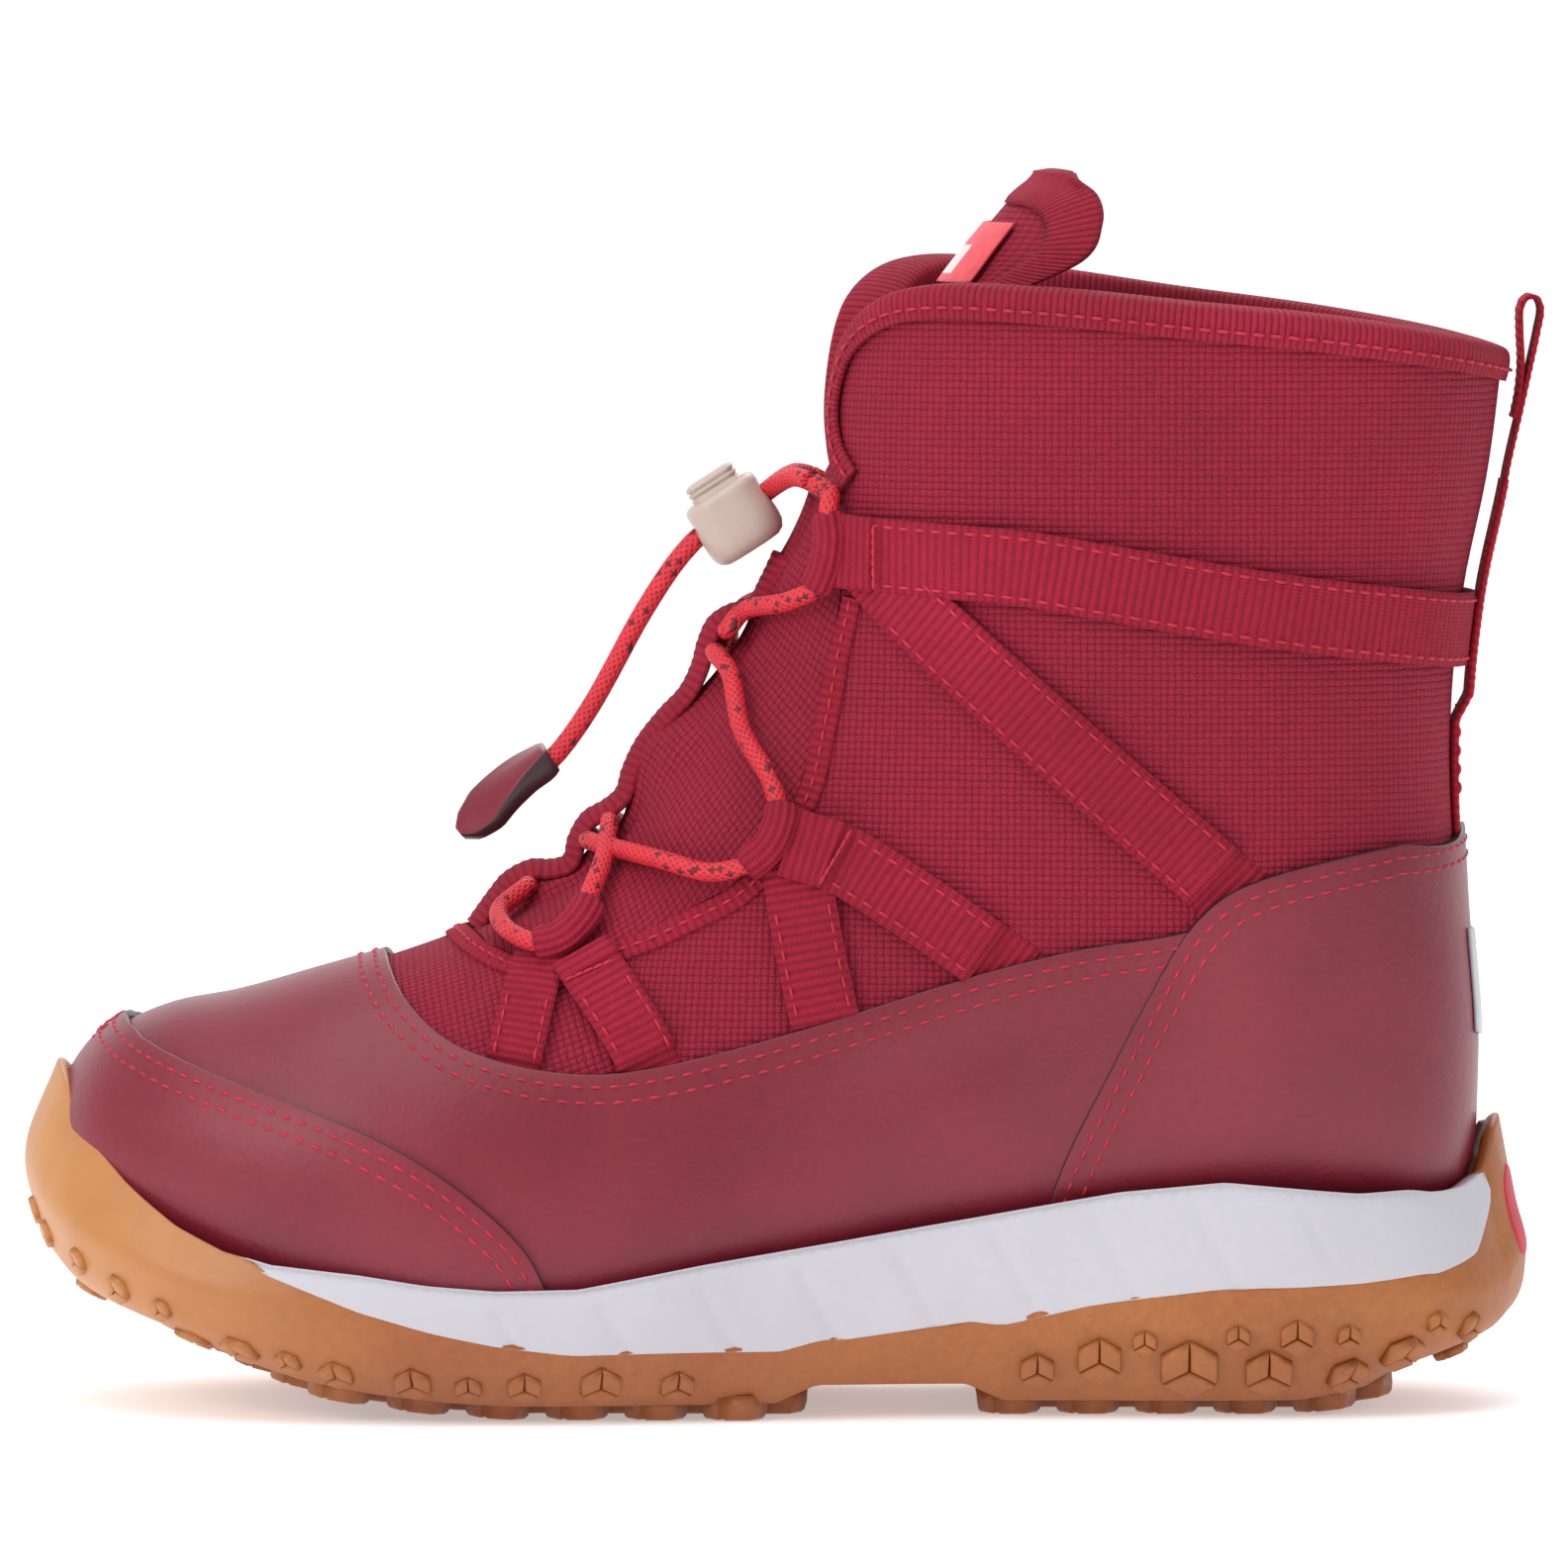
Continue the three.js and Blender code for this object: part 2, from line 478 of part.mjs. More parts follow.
const laceRoom = alongPath(lacePath, BORE_RADIUS, 92);

// Straps: the legs lie flat, the folded end carries the lace. Ends run up to the coated panels.
const besidePanels = slab(grow([[-130, 80], ...MUDGUARD_EDGE, ...HEEL_EDGE.slice(4), [130, 8],
  [-130, 8]], GAP));
const midFlat = strapShell.intersect(slab(MID_LONG).add(slab(MID_SHORT)));
const lowFlat = strapShell.intersect(slab(LOW_LONG).add(slab(LOW_SHORT)));
const midStrap = midFlat.add(midHem).subtract(besidePanels).subtract(laceRoom);
const lowStrap = lowFlat.add(lowHem).subtract(besidePanels).subtract(laceRoom);
const ankle = ankleStrap.add(ankleHem).subtract(laceRoom);
const diagonal = strapShell.intersect(slab(DIAGONAL)).subtract(besidePanels);

// ---- tongue --------------------------------------------------------------------------------------
const throatArea = slab([...grow([...THROAT, [10.2, 190], [130, 190], [130, 0], [-130, 0], [-130, 74]], GAP)
  .slice(0, THROAT.length - 1), [9.9, 130.7], [-60, 130.7], [-60, 74.4]]);
const tongueLower = body(-0.6).subtract(body(-6.9)).intersect(throatArea).subtract(laceRoom);

// Height, front x on the centre line, half width, how far the edges stand back, thickness.
const TONGUE = [
  [131.7, 5.3, 12.2, 3.2, 5.6], [138, 8.6, 12.2, 3.2, 6.6], [146, 13.2, 12.2, 3.2, 7.2],
    [154, 18.2, 13, 3.8, 7.4],
  [161, 22.6, 18, 8.5, 7.5], [167, 27, 24.5, 17, 7], [172.5, 31.5, 24.5, 15.5, 6.5],
  [176.5, 35, 22, 11.5, 5.5], [179.2, 38.2, 15, 5, 3.5],
];
const ACROSS = [-1, -0.7, -0.35, 0, 0.35, 0.7, 1];
function tongueSheet(forward, extra) {
  return ringLoft(TONGUE.map(([z, x, half, back, thick]) => {
    const front = ACROSS.map((u) => [x - forward + back * u * u, half * u, z]);
    const rear = ACROSS.slice(1, -1).reverse().map((u) => [
      x + back * u * u + extra + thick * (1 - u ** 4), half * u, z]);
    return [...front, ...rear];
  }));
}
const wallRoom = body(1.8).subtract(body(-7.4)).intersect(slab([
  [9, 110], [9, 131], ...COLLAR.map(([x, z]) => [x - GAP, z + GAP]), [130, 154], [130, 110]]))
  .subtract(frontGate(0.4));
const innerTongue = frontSlab([[-18, 120], [-18.4, 163], [-18.8, 169], [-15.5, 172.6], [-9, 174.6],
  [0, 175.2],
  [9, 174.6], [15.5, 172.6], [18.8, 169], [18.4, 163], [18, 120]]);
const tongueFull = tongueSheet(0, 0).subtract(wallRoom);
const belowBinding = slab([[-60, 100], [100, 100], [100, 163.4], [-60, 163.4]]);
const tongueTop = tongueFull.intersect(innerTongue).add(tongueFull.intersect(belowBinding));
const bindingBand = slab([[-60, 163.7], [100, 163.7], [100, 190], [-60, 190]])
  .subtract(frontSlab([[-18.3, 150], [-18.7, 163], [-19.1, 169.2], [-15.7, 172.9], [-9.1, 174.9],
    [0, 175.5],
    [9.1, 174.9], [15.7, 172.9], [19.1, 169.2], [18.7, 163], [18.3, 150]]));
const tongueBinding = tongueSheet(0.5, 0.5).intersect(bindingBand);
const labelArea = slab([[-60, 163.9], [100, 163.9], [100, 172.2], [-60, 172.2]], -8, 8);
const tongueLabel = tongueSheet(1.3, 0).subtract(tongueSheet(0.3, 1)).intersect(labelArea);

// Woven tape up the middle of the tongue, raised into three loops for the lace.
const TONGUE_LOOPS = [
  [[-43, 69.5], [-41.8, 74], [-40.2, 77], [-36.2, 79], [-31.5, 80], [-29.2, 78.2], [-33, 72], [-40, 67]],
  [[-30.2, 79.6], [-29.9, 82.6], [-27.8, 86.2], [-24.5, 88.3], [-20.6, 88.4], [-18, 85], [-24, 78]],
  [[-13.9, 103], [-12, 105.4], [-11.4, 108.4], [-11.2, 111.4], [-9.9, 114.4], [-7.2, 116.4],
    [-2.2, 118.2], [0, 114], [-6, 103]],
];
const tapeWidth = slab([[-60, 60], [60, 60], [60, 200], [-60, 200]], -WEBBING / 2, WEBBING / 2);
const middleStrip = body(0.8).subtract(body(-0.3)).intersect(tapeWidth).intersect(throatArea)
  .intersect(slab([[-44, 60], [20, 60], [20, 124], [-44, 124]]));
const tongueLoops = join(TONGUE_LOOPS.map((line) => slab(line, -WEBBING / 2, WEBBING / 2)))
  .subtract(body(0.2));
const tongueWebbing = middleStrip.add(tongueLoops).subtract(laceRoom);

// ---- heel pull -----------------------------------------------------------------------------------
const pullWidth = (x0, z0, x1, z1) => slab([[x0, z0], [x1, z0], [x1, z1], [x0, z1]], -WEBBING / 2,
  WEBBING / 2);
const heelPullStrap = shell(LAYER.pull).intersect(pullWidth(70, 86, 130, 133.2));
const PULL_OUTER = [[106.9, 134], [107.9, 139], [109.3, 144], [110.6, 150], [111.7, 156], [112.6, 160],
  [112, 161.7],
  [110.2, 162.3], [108.7, 161.5], [108.3, 158.8], [108.5, 152], [108, 146], [106.6, 139.5], [105.5, 134]];
const PULL_HOLE = [[109.1, 146.6], [109.9, 150.5], [110.9, 156.5], [111.3, 159.8], [110.3, 160.9],
  [109.6, 160.2],
  [109.4, 157.5], [109.6, 152]];
const heelPullLoop = slab(PULL_OUTER, -WEBBING / 2, WEBBING / 2, [PULL_HOLE]);

// ---- free ends of the lace, lock and tab ---------------------------------------------------------
const LOCK = { x: -6.2, z: 129.8, along: [-0.84, -0.54], up: [-0.54, 0.84] };
const fromLock = new THREE.Matrix4().makeBasis(
  V(LOCK.along[0], 0, LOCK.along[1]).normalize(), V(0, -1, 0), V(LOCK.up[0], 0, LOCK.up[1]).normalize(),
).setPosition(LOCK.x, 0, LOCK.z);

// A block in the lock's own directions: along the lace, across it, and up toward the button.
function lockBlock(length, width, low, high, corner) {
  const shape = new THREE.Shape();
  const [l, w] = [length / 2, width / 2];
  shape.moveTo(-l + corner, -w);
  shape.lineTo(l - corner, -w).quadraticCurveTo(l, -w, l, -w + corner);
  shape.lineTo(l, w - corner).quadraticCurveTo(l, w, l - corner, w);
  shape.lineTo(-l + corner, w).quadraticCurveTo(-l, w, -l, w - corner);
  shape.lineTo(-l, -w + corner).quadraticCurveTo(-l, -w, -l + corner, -w);
  const block = new THREE.ExtrudeGeometry(shape, { depth: high - low, bevelEnabled: false,
    curveSegments: 3 });
  block.translate(0, 0, low);
  return solid(block.applyMatrix4(fromLock));
}
function lockBore(low, high, halfWidth) {
  const shape = new THREE.Shape();
  shape.moveTo(-halfWidth, low);
  shape.lineTo(halfWidth, low);
  shape.lineTo(halfWidth + 1, (low + high) / 2);
  shape.lineTo(halfWidth, high);
  shape.lineTo(-halfWidth, high);
  shape.lineTo(-halfWidth - 1, (low + high) / 2);
  const bore = new THREE.ExtrudeGeometry(shape, { depth: 30, bevelEnabled: false });
  bore.translate(0, 0, -15);
  bore.rotateZ(Math.PI / 2);
  bore.rotateY(Math.PI / 2);
  return solid(bore.applyMatrix4(fromLock));
}
function alongCoil(radius, wire, turns, floor, steps) {
  const points = Array.from({ length: steps + 1 }, (_, k) => {
    const a = (2 * Math.PI * turns * k) / steps;
    return [radius * Math.cos(a), radius * Math.sin(a), floor + (0.57 * turns * k) / steps];
  });
  const placed = points.map(([l, w, q]) => V(l, w, q).applyMatrix4(fromLock).toArray());
  return alongPath(placed, wire, 24, 5);
}
const lockBody = lockBlock(12, 15, -6, 4, 3).subtract(lockBlock(8.6, 9.4, -5.1, 5, 1.2))
  .subtract(lockBore(-2.1, 2.1, 3.6));
const lockButton = lockBlock(8, 8.8, -2.4, 6.8, 1).subtract(lockBore(-1.9, 3.9, 2.9));
const spring = alongCoil(2.4, 0.24, 1.4, -4.8, 18);
const strandPath = (side) => [
  [5.1, side * 14.3, 135.1], [3, side * 9.8, 135.6], [0.4, side * 4.2, 134.3],
  [-1.4, side * 2, 132.9], [-6.2, side * 1.8, 129.8], [-11, side * 1.8, 126.6], [-14.4, side * 1.8, 122.8],
  [-17.4, side * 1.8, 118.4], [-20.4, side * 1.8, 113.4], [-23.4, side * 1.8, 107.8],
    [-26.4, side * 1.8, 102.4],
  [-29.4, side * 1.8, 97.8], [-31.8, side * 1.8, 94.7], [-33.2, side * 1.8, 93.3],
];
const strands = [-1, 1].map((side) => alongPath(strandPath(side), CORD_RADIUS, 34));
const TAB = [[-34.5, 95.2], [-36.5, 94.6], [-40, 91.6], [-43, 87.6], [-46, 84.2], [-46.5, 83],
  [-45.2, 81.8], [-43, 83.2],
  [-39, 85.4], [-35.5, 88.8], [-34.5, 91]];
const endTab = slab(TAB, -6, 6);

// ---- parts list ---------------------------------------------------------------------------------
const FINISH = {
  rubber: { color: 0xc07a45, roughness: 0.62, metalness: 0 },
  foam: { color: 0xdddce2, roughness: 0.7, metalness: 0 },
  coated: { color: 0x8e2f3f, roughness: 0.5, metalness: 0 },
  woven: { color: 0xa0284a, roughness: 0.9, metalness: 0 },
  webbing: { color: 0xa82a46, roughness: 0.85, metalness: 0 },
  cord: { color: 0xf04048, roughness: 0.8, metalness: 0 },
  ivory: { color: 0xe8ded6, roughness: 0.4, metalness: 0 },
  steel: { color: 0xb8bac0, roughness: 0.3, metalness: 1 },
  fleece: { color: 0x3a3a40, roughness: 1, metalness: 0 },
  padding: { color: 0xc9c4b8, roughness: 0.95, metalness: 0 },
  fibre: { color: 0xb9a888, roughness: 0.9, metalness: 0 },
  label: { color: 0xf0525a, roughness: 0.6, metalness: 0 },
  red: { color: 0xc0182e, roughness: 0.8, metalness: 0 },
  reflective: { color: 0xb4b6ba, roughness: 0.35, metalness: 0.3 },
};
const parts = [];
const add = (name, bodyOf, finish) => parts.push([name, bodyOf, FINISH[finish]]);

add('outsole', outsole, 'rubber');
add('midsole', midsole, 'foam');
add('heel_badge', badge, 'red');
add('lasting_board', board, 'fibre');
add('insole', insole, 'padding');
add('lining', lining, 'fleece');
add('toe_puff', toePuff, 'fibre');
add('heel_counter', heelCounter, 'fibre');
add('collar_foam', collarFoam, 'padding');
add('vamp_textile', vamp, 'woven');
add('quarter_lateral', quarters.intersect(leftHalf), 'woven');
add('quarter_medial', quarters.intersect(rightHalf), 'woven');
add('mudguard', mudguard, 'coated');
add('toe_guard', toeGuard, 'coated');
add('heel_overlay', heelOverlay, 'coated');
add('heel_reflector', reflector, 'reflective');
add('throat_tape', throatTape, 'webbing');
add('collar_binding', collarBinding, 'webbing');
add('ankle_strap', ankle, 'webbing');
for (const [side, half] of [['lateral', leftHalf], ['medial', rightHalf]]) {
  add(`diagonal_strap_${side}`, diagonal.intersect(half), 'webbing');
  add(`middle_loop_${side}`, midStrap.intersect(half), 'webbing');
  add(`low_loop_${side}`, lowStrap.intersect(half), 'webbing');
}
add('tongue_lower', tongueLower, 'woven');
add('tongue_top', tongueTop, 'woven');
add('tongue_binding', tongueBinding, 'webbing');
add('tongue_label', tongueLabel, 'label');
add('tongue_webbing', tongueWebbing, 'webbing');
add('heel_pull_strap', heelPullStrap, 'red');
add('heel_pull_loop', heelPullLoop, 'red');
add('lace', lace, 'cord');
add('lace_end_lateral', strands[0], 'cord');
add('lace_end_medial', strands[1], 'cord');
add('cord_lock_body', lockBody, 'ivory');
add('cord_lock_button', lockButton, 'ivory');
add('cord_lock_spring', spring, 'steel');
add('lace_end_tab', endTab, 'coated');

const group = new THREE.Group();
group.name = 'winter_boot';
for (const [name, shape, finish] of parts) {
  const mesh = new THREE.Mesh(geometryOf(largest(shape)), new THREE.MeshStandardMaterial(finish));
  mesh.name = name;
  group.add(mesh);
}

// The boot stands on the ground with its own middle over the origin, leaving out the free lace ends.
const own = new THREE.Box3();
for (const mesh of group.children) {
  if (!/^(lace_end|cord_lock)/.test(mesh.name)) own.expandByObject(mesh);
}
const middle = own.getCenter(V(0, 0, 0));
for (const mesh of group.children) mesh.geometry.translate(-middle.x, -middle.y, -own.min.z);
export default group;
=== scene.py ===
"""Child's lace-up winter boot: left foot, toe toward -X, outer side toward -Y, ground at Z = 0."""

import math

import bmesh
import bpy
import numpy as np
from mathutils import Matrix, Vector
from mathutils.geometry import delaunay_2d_cdt


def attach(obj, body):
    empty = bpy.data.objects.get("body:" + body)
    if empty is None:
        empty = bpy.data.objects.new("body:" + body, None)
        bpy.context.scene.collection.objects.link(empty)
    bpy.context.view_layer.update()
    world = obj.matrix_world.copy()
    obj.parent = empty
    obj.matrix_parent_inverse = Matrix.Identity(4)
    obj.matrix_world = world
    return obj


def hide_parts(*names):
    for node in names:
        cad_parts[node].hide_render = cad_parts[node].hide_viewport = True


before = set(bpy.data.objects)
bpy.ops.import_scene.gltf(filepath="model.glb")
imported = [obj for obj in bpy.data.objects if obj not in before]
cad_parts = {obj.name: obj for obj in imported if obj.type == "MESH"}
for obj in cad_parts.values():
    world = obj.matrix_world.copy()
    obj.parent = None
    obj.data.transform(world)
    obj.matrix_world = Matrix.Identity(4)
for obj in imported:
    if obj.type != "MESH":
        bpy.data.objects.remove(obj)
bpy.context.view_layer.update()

# ---- Camera, floor and light ------------------------------------------------------------------
# A pale paper sweep under a large overhead softbox and two side panels, seen from the boot's outer
# side with a long lens, a little above the ground.
scene = bpy.context.scene
AIM = Vector((0.0001, 0.0, 0.0903))
CAMERA_DISTANCE = 2.1
CAMERA_RISE = math.radians(3.2)
FRAME_WIDTH = 0.2262

camera_data = bpy.data.cameras.new("camera")
camera_data.sensor_width = 36
camera_data.lens = 36 * (CAMERA_DISTANCE - 0.03) / FRAME_WIDTH
camera_data.clip_end = 20
camera = bpy.data.objects.new("camera", camera_data)
camera.location = AIM + CAMERA_DISTANCE * Vector((0, -math.cos(CAMERA_RISE), math.sin(CAMERA_RISE)))
camera.rotation_euler = (AIM - camera.location).to_track_quat("-Z", "Y").to_euler()
scene.collection.objects.link(camera)
scene.camera = camera
scene.view_settings.view_transform = "Standard"

floor_mesh = bpy.data.meshes.new("floor")
profile = [(-3.2, 0.0), (2.6, 0.0), (2.9, 0.04), (3.1, 0.16), (3.22, 0.4), (3.26, 2.4)]
floor_points = [(x, y, z - 0.0001) for y, z in profile for x in (-4.5, 4.5)]
floor_mesh.from_pydata(
    floor_points, [], [(2 * i, 2 * i + 1, 2 * i + 3, 2 * i + 2) for i in range(len(profile) - 1)]
)
floor = bpy.data.objects.new("paper_sweep", floor_mesh)
scene.collection.objects.link(floor)
paper = bpy.data.materials.new("paper")
paper.use_nodes = True
paper.node_tree.nodes["Principled BSDF"].inputs["Base Color"].default_value = (0.93, 0.93, 0.935, 1)
paper.node_tree.nodes["Principled BSDF"].inputs["Roughness"].default_value = 0.9
paper.node_tree.nodes["Principled BSDF"].inputs["Emission Color"].default_value = (1, 1, 1, 1)
paper.node_tree.nodes["Principled BSDF"].inputs["Emission Strength"].default_value = 0.36
floor_mesh.materials.append(paper)

world = bpy.data.worlds.new("studio")
world.use_nodes = True
world.node_tree.nodes["Background"].inputs["Color"].default_value = (0.97, 0.98, 1, 1)
world.node_tree.nodes["Background"].inputs["Strength"].default_value = 0.55
scene.world = world
for name, place, size, power in (
    ("overhead", (-0.2, -0.25, 1.3), 1.3, 8.6),
    ("front_left", (-1.0, -1.0, 0.85), 0.7, 6.6),
    ("front_right", (1.0, -0.9, 0.55), 0.7, 0.6),
    ("behind", (0.2, 0.9, 0.9), 0.7, 3.5),
):
    lamp = bpy.data.lights.new(name, "AREA")
    lamp.size = size
    lamp.energy = power
    holder = bpy.data.objects.new(name, lamp)
    holder.location = place
    holder.rotation_euler = (Vector((0, 0, 0.07)) - Vector(place)).to_track_quat("-Z", "Y").to_euler()
    scene.collection.objects.link(holder)

# ---- Free ends of the lace --------------------------------------------------------------------
# Two strands of 2.8 mm round elastic cord, a braided polyester jacket over rubber threads. They
# leave the ankle loops, pass through the cord lock side by side and are sewn into one end tab.
MIDDLE = np.array([1.3, -0.5832, 0.0])  # the boot's middle in the last's own millimetres
CORD_RADIUS = 1.4

# Sections of the upper: top x,z / bottom x,z / half width / centre y / height of the widest point /
# squareness above it / squareness below it. Lengths in millimetres.
SECTIONS = np.array([
    [-103.0, 41.5, -102.6, 33.0, 8.0, 7.0, 0.45, 2.0, 2.0],
    [-100.8, 47.6, -100.2, 27.4, 16.5, 6.6, 0.42, 2.1, 2.2],
    [-96.0, 53.0, -94.0, 22.2, 24.0, 5.2, 0.39, 2.2, 2.4],
    [-88.0, 56.8, -83.0, 18.2, 29.8, 3.4, 0.36, 2.2, 2.7],
    [-78.0, 58.9, -71.0, 15.3, 33.8, 1.4, 0.32, 2.2, 3.2],
    [-66.0, 62.4, -58.0, 13.0, 36.3, -0.4, 0.29, 2.2, 3.7],
    [-54.0, 66.0, -44.0, 11.6, 37.3, -1.3, 0.28, 2.1, 4.0],
    [-43.0, 70.2, -30.0, 11.8, 36.6, -1.4, 0.29, 2.1, 4.0],
    [-32.5, 75.6, -14.0, 13.2, 34.8, -1.0, 0.31, 2.1, 3.8],
    [-24.0, 82.5, 4.0, 15.6, 32.3, -0.5, 0.34, 2.1, 3.5],
    [-18.0, 92.0, 26.0, 18.6, 31.0, 0.0, 0.37, 2.1, 3.2],
    [-11.8, 102.5, 52.0, 21.2, 31.0, 0.0, 0.40, 2.1, 3.0],
    [-5.2, 112.5, 80.0, 22.8, 31.4, 0.0, 0.42, 2.1, 2.8],
    [-2.0, 120.0, 98.0, 29.0, 31.8, 0.0, 0.44, 2.1, 2.5],
    [2.0, 127.0, 101.4, 50.0, 32.6, 0.0, 0.46, 2.25, 2.3],
    [4.5, 133.0, 99.9, 74.0, 33.6, 0.0, 0.48, 2.3, 2.2],
    [6.0, 139.5, 98.9, 98.0, 34.6, 0.0, 0.49, 2.4, 2.2],
    [7.0, 147.0, 100.6, 118.0, 35.6, 0.0, 0.50, 2.5, 2.2],
    [8.0, 156.0, 104.2, 136.0, 36.4, 0.0, 0.50, 2.5, 2.2],
    [9.5, 166.0, 106.2, 152.0, 37.0, 0.0, 0.50, 2.5, 2.2],
    [12.0, 178.0, 107.4, 166.0, 37.4, 0.0, 0.50, 2.5, 2.2],
])


def uniform_spline(rows, per):
    """Rows of numbers run through by a smooth curve, with `per` steps between neighbours."""
    rows = np.asarray(rows, float)
    ends = np.vstack([2 * rows[0] - rows[1], rows, 2 * rows[-1] - rows[-2]])
    out = []
    for i in range(1, len(rows)):
        a, b, c, d = ends[i - 1], ends[i], ends[i + 1], ends[i + 2]
        for t in np.arange(per) / per:
            out.append(0.5 * (2 * b + (c - a) * t + (2 * a - 5 * b + 4 * c - d) * t**2
                              + (3 * b - 3 * c + d - a) * t**3))
    return np.vstack(out + [rows[-1]])


def soft_path(points, per=8):
    """A smooth line through points at uneven distances."""
    p = np.asarray(points, float)
    p = np.vstack([2 * p[0] - p[1], p, 2 * p[-1] - p[-2]])
    out = []
    for i in range(1, len(p) - 2):
        a, b, c, d = p[i - 1], p[i], p[i + 1], p[i + 2]
        k0, k1, k2 = (max(np.linalg.norm(q), 1e-4) ** 0.5 for q in (b - a, c - b, d - c))
        m1 = ((b - a) / k0 - (c - a) / (k0 + k1) + (c - b) / k1) * k1
        m2 = ((c - b) / k1 - (d - b) / (k1 + k2) + (d - c) / k2) * k1
        for t in np.arange(per) / per:
            out.append((2 * t**3 - 3 * t**2 + 1) * b + (t**3 - 2 * t**2 + t) * m1
                       + (3 * t**2 - 2 * t**3) * c + (t**3 - t**2) * m2)
    return np.vstack(out + [p[-2]])


def even(points, step):
    """The same line with its points at equal distances of about `step`."""
    points = np.asarray(points, float)
    along = np.concatenate([[0], np.cumsum(np.linalg.norm(np.diff(points, axis=0), axis=1))])
    count = max(int(round(along[-1] / step)), 1)
    want = np.linspace(0, along[-1], count + 1)
    return np.stack([np.interp(want, along, points[:, k]) for k in range(points.shape[1])], axis=1)


def length_of(points):
    return float(np.linalg.norm(np.diff(np.asarray(points), axis=0), axis=1).sum())


def unit(v):
    return v / np.maximum(np.linalg.norm(v, axis=-1, keepdims=True), 1e-12)


class Surface:
    """A sheet in space over two coordinates a (0 to 1 along) and b (-0.5 to 0.5 round, the outer
    side positive), with its outward direction, kept as a fine table."""

    def __init__(self, table, wrap=True):
        self.p = table
        self.wrap = wrap
        da = np.gradient(table, axis=0)
        if wrap:
            ring = np.concatenate([table[:, -2:-1], table, table[:, 1:2]], axis=1)
            db = (ring[:, 2:] - ring[:, :-2]) / 2
        else:
            db = np.gradient(table, axis=1)
        n = unit(np.cross(da, db))
        inward = np.einsum("ijk,ijk->ij", n, table - table.mean(axis=1, keepdims=True)).sum() < 0
        self.n = -n if inward else n

    def _take(self, source, a, b):
        rows, columns = source.shape[:2]
        i = np.clip(np.asarray(a, float), 0, 1) * (rows - 1)
        j = (np.asarray(b, float) % 1.0) * (columns - 1) if self.wrap else np.clip(b, 0, 1) * (columns - 1)
        i0 = np.clip(i.astype(int), 0, rows - 2)
        j0 = np.clip(j.astype(int), 0, columns - 2)
        fi, fj = (i - i0)[..., None], (j - j0)[..., None]
        return ((source[i0, j0] * (1 - fi) + source[i0 + 1, j0] * fi) * (1 - fj)
                + (source[i0, j0 + 1] * (1 - fi) + source[i0 + 1, j0 + 1] * fi) * fj)

    def at(self, ab, out=0.0):
        ab = np.atleast_2d(ab)
        out = np.broadcast_to(np.asarray(out, float), (len(ab),))[:, None]
        return self._take(self.p, ab[:, 0], ab[:, 1]) + self.facing(ab) * out

    def facing(self, ab):
        ab = np.atleast_2d(ab)
        return unit(self._take(self.n, ab[:, 0], ab[:, 1]))

    def walk(self, ab, vector):
        """Where you come to from ab by going along the given vectors in space, kept to the sheet."""
        ab = np.array(np.atleast_2d(ab), float)
        h = 1e-3
        for _ in range(2):
            base = self.at(ab)
            pa = (self.at(ab + [h, 0]) - self.at(ab - [h, 0])) / (2 * h)
            pb = (self.at(ab + [0, h]) - self.at(ab - [0, h])) / (2 * h)
            aa, bb, mix = (pa * pa).sum(1), (pb * pb).sum(1), (pa * pb).sum(1)
            va, vb = (pa * vector).sum(1), (pb * vector).sum(1)
            det = np.maximum(aa * bb - mix**2, 1e-9)
            step = np.stack([(va * bb - vb * mix) / det, (vb * aa - va * mix) / det], axis=1)
            target = base + vector
            ab = ab + step
            vector = target - self.at(ab)
        return ab


def section_rings(sections, around=360):
    turn = np.linspace(0, 2 * np.pi, 1441)
    rings = []
    for tx, tz, bx, bz, half, centre, widest, above, below in sections:
        c, s = np.cos(turn), np.sin(turn)
        e = np.where(c >= 0, 2 / above, 2 / below)
        f = widest + np.sign(c) * np.abs(c) ** e * np.where(c >= 0, 1 - widest, widest)
        y = centre - half * np.sign(s) * np.abs(s) ** e
        ring = np.stack([bx + f * (tx - bx), y, bz + f * (tz - bz)], axis=1)
        along = np.concatenate([[0], np.cumsum(np.linalg.norm(np.diff(ring, axis=0), axis=1))])
        want = np.linspace(0, along[-1], around + 1)
        rings.append(np.stack([np.interp(want, along, ring[:, k]) for k in range(3)], axis=1))
    return np.array(rings)


fine_sections = uniform_spline(SECTIONS, 16)
skin = Surface(section_rings(fine_sections))


def on_skin(points):
    """Coordinates on the upper, outer side, of points given in the side view (x, z)."""
    found = []
    tx, tz, bx, bz = fine_sections[:, :4].T
    for x, z in points:
        side = (tx - bx) * (z - bz) - (tz - bz) * (x - bx)
        change = np.nonzero((side[:-1] < 0) & (side[1:] >= 0))[0]
        i = change[0] if len(change) else (0 if side[0] >= 0 else len(side) - 2)
        t = float(np.clip(side[i] / (side[i] - side[i + 1]), 0, 1))
        top, bottom = (fine_sections[i, k:k + 2] * (1 - t) + fine_sections[i + 1, k:k + 2] * t
                       for k in (0, 2))
        half_ring = skin.p[i, :181] * (1 - t) + skin.p[i + 1, :181] * t
        axis = top - bottom
        f = ((half_ring[:, [0, 2]] - bottom) @ axis) / (axis @ axis)
        want = ((np.array([x, z]) - bottom) @ axis) / (axis @ axis)
        found.append(((i + t) / (len(fine_sections) - 1), float(np.interp(-want, -f, np.arange(181) / 360))))
    return np.array(found)


def side_points(points, side):
    """Points in space from x, z and the distance off the upper; side -1 is the outer side."""
    places = on_skin([p[:2] for p in points])
    places[:, 1] *= -side
    return skin.at(places, [p[2] for p in points])


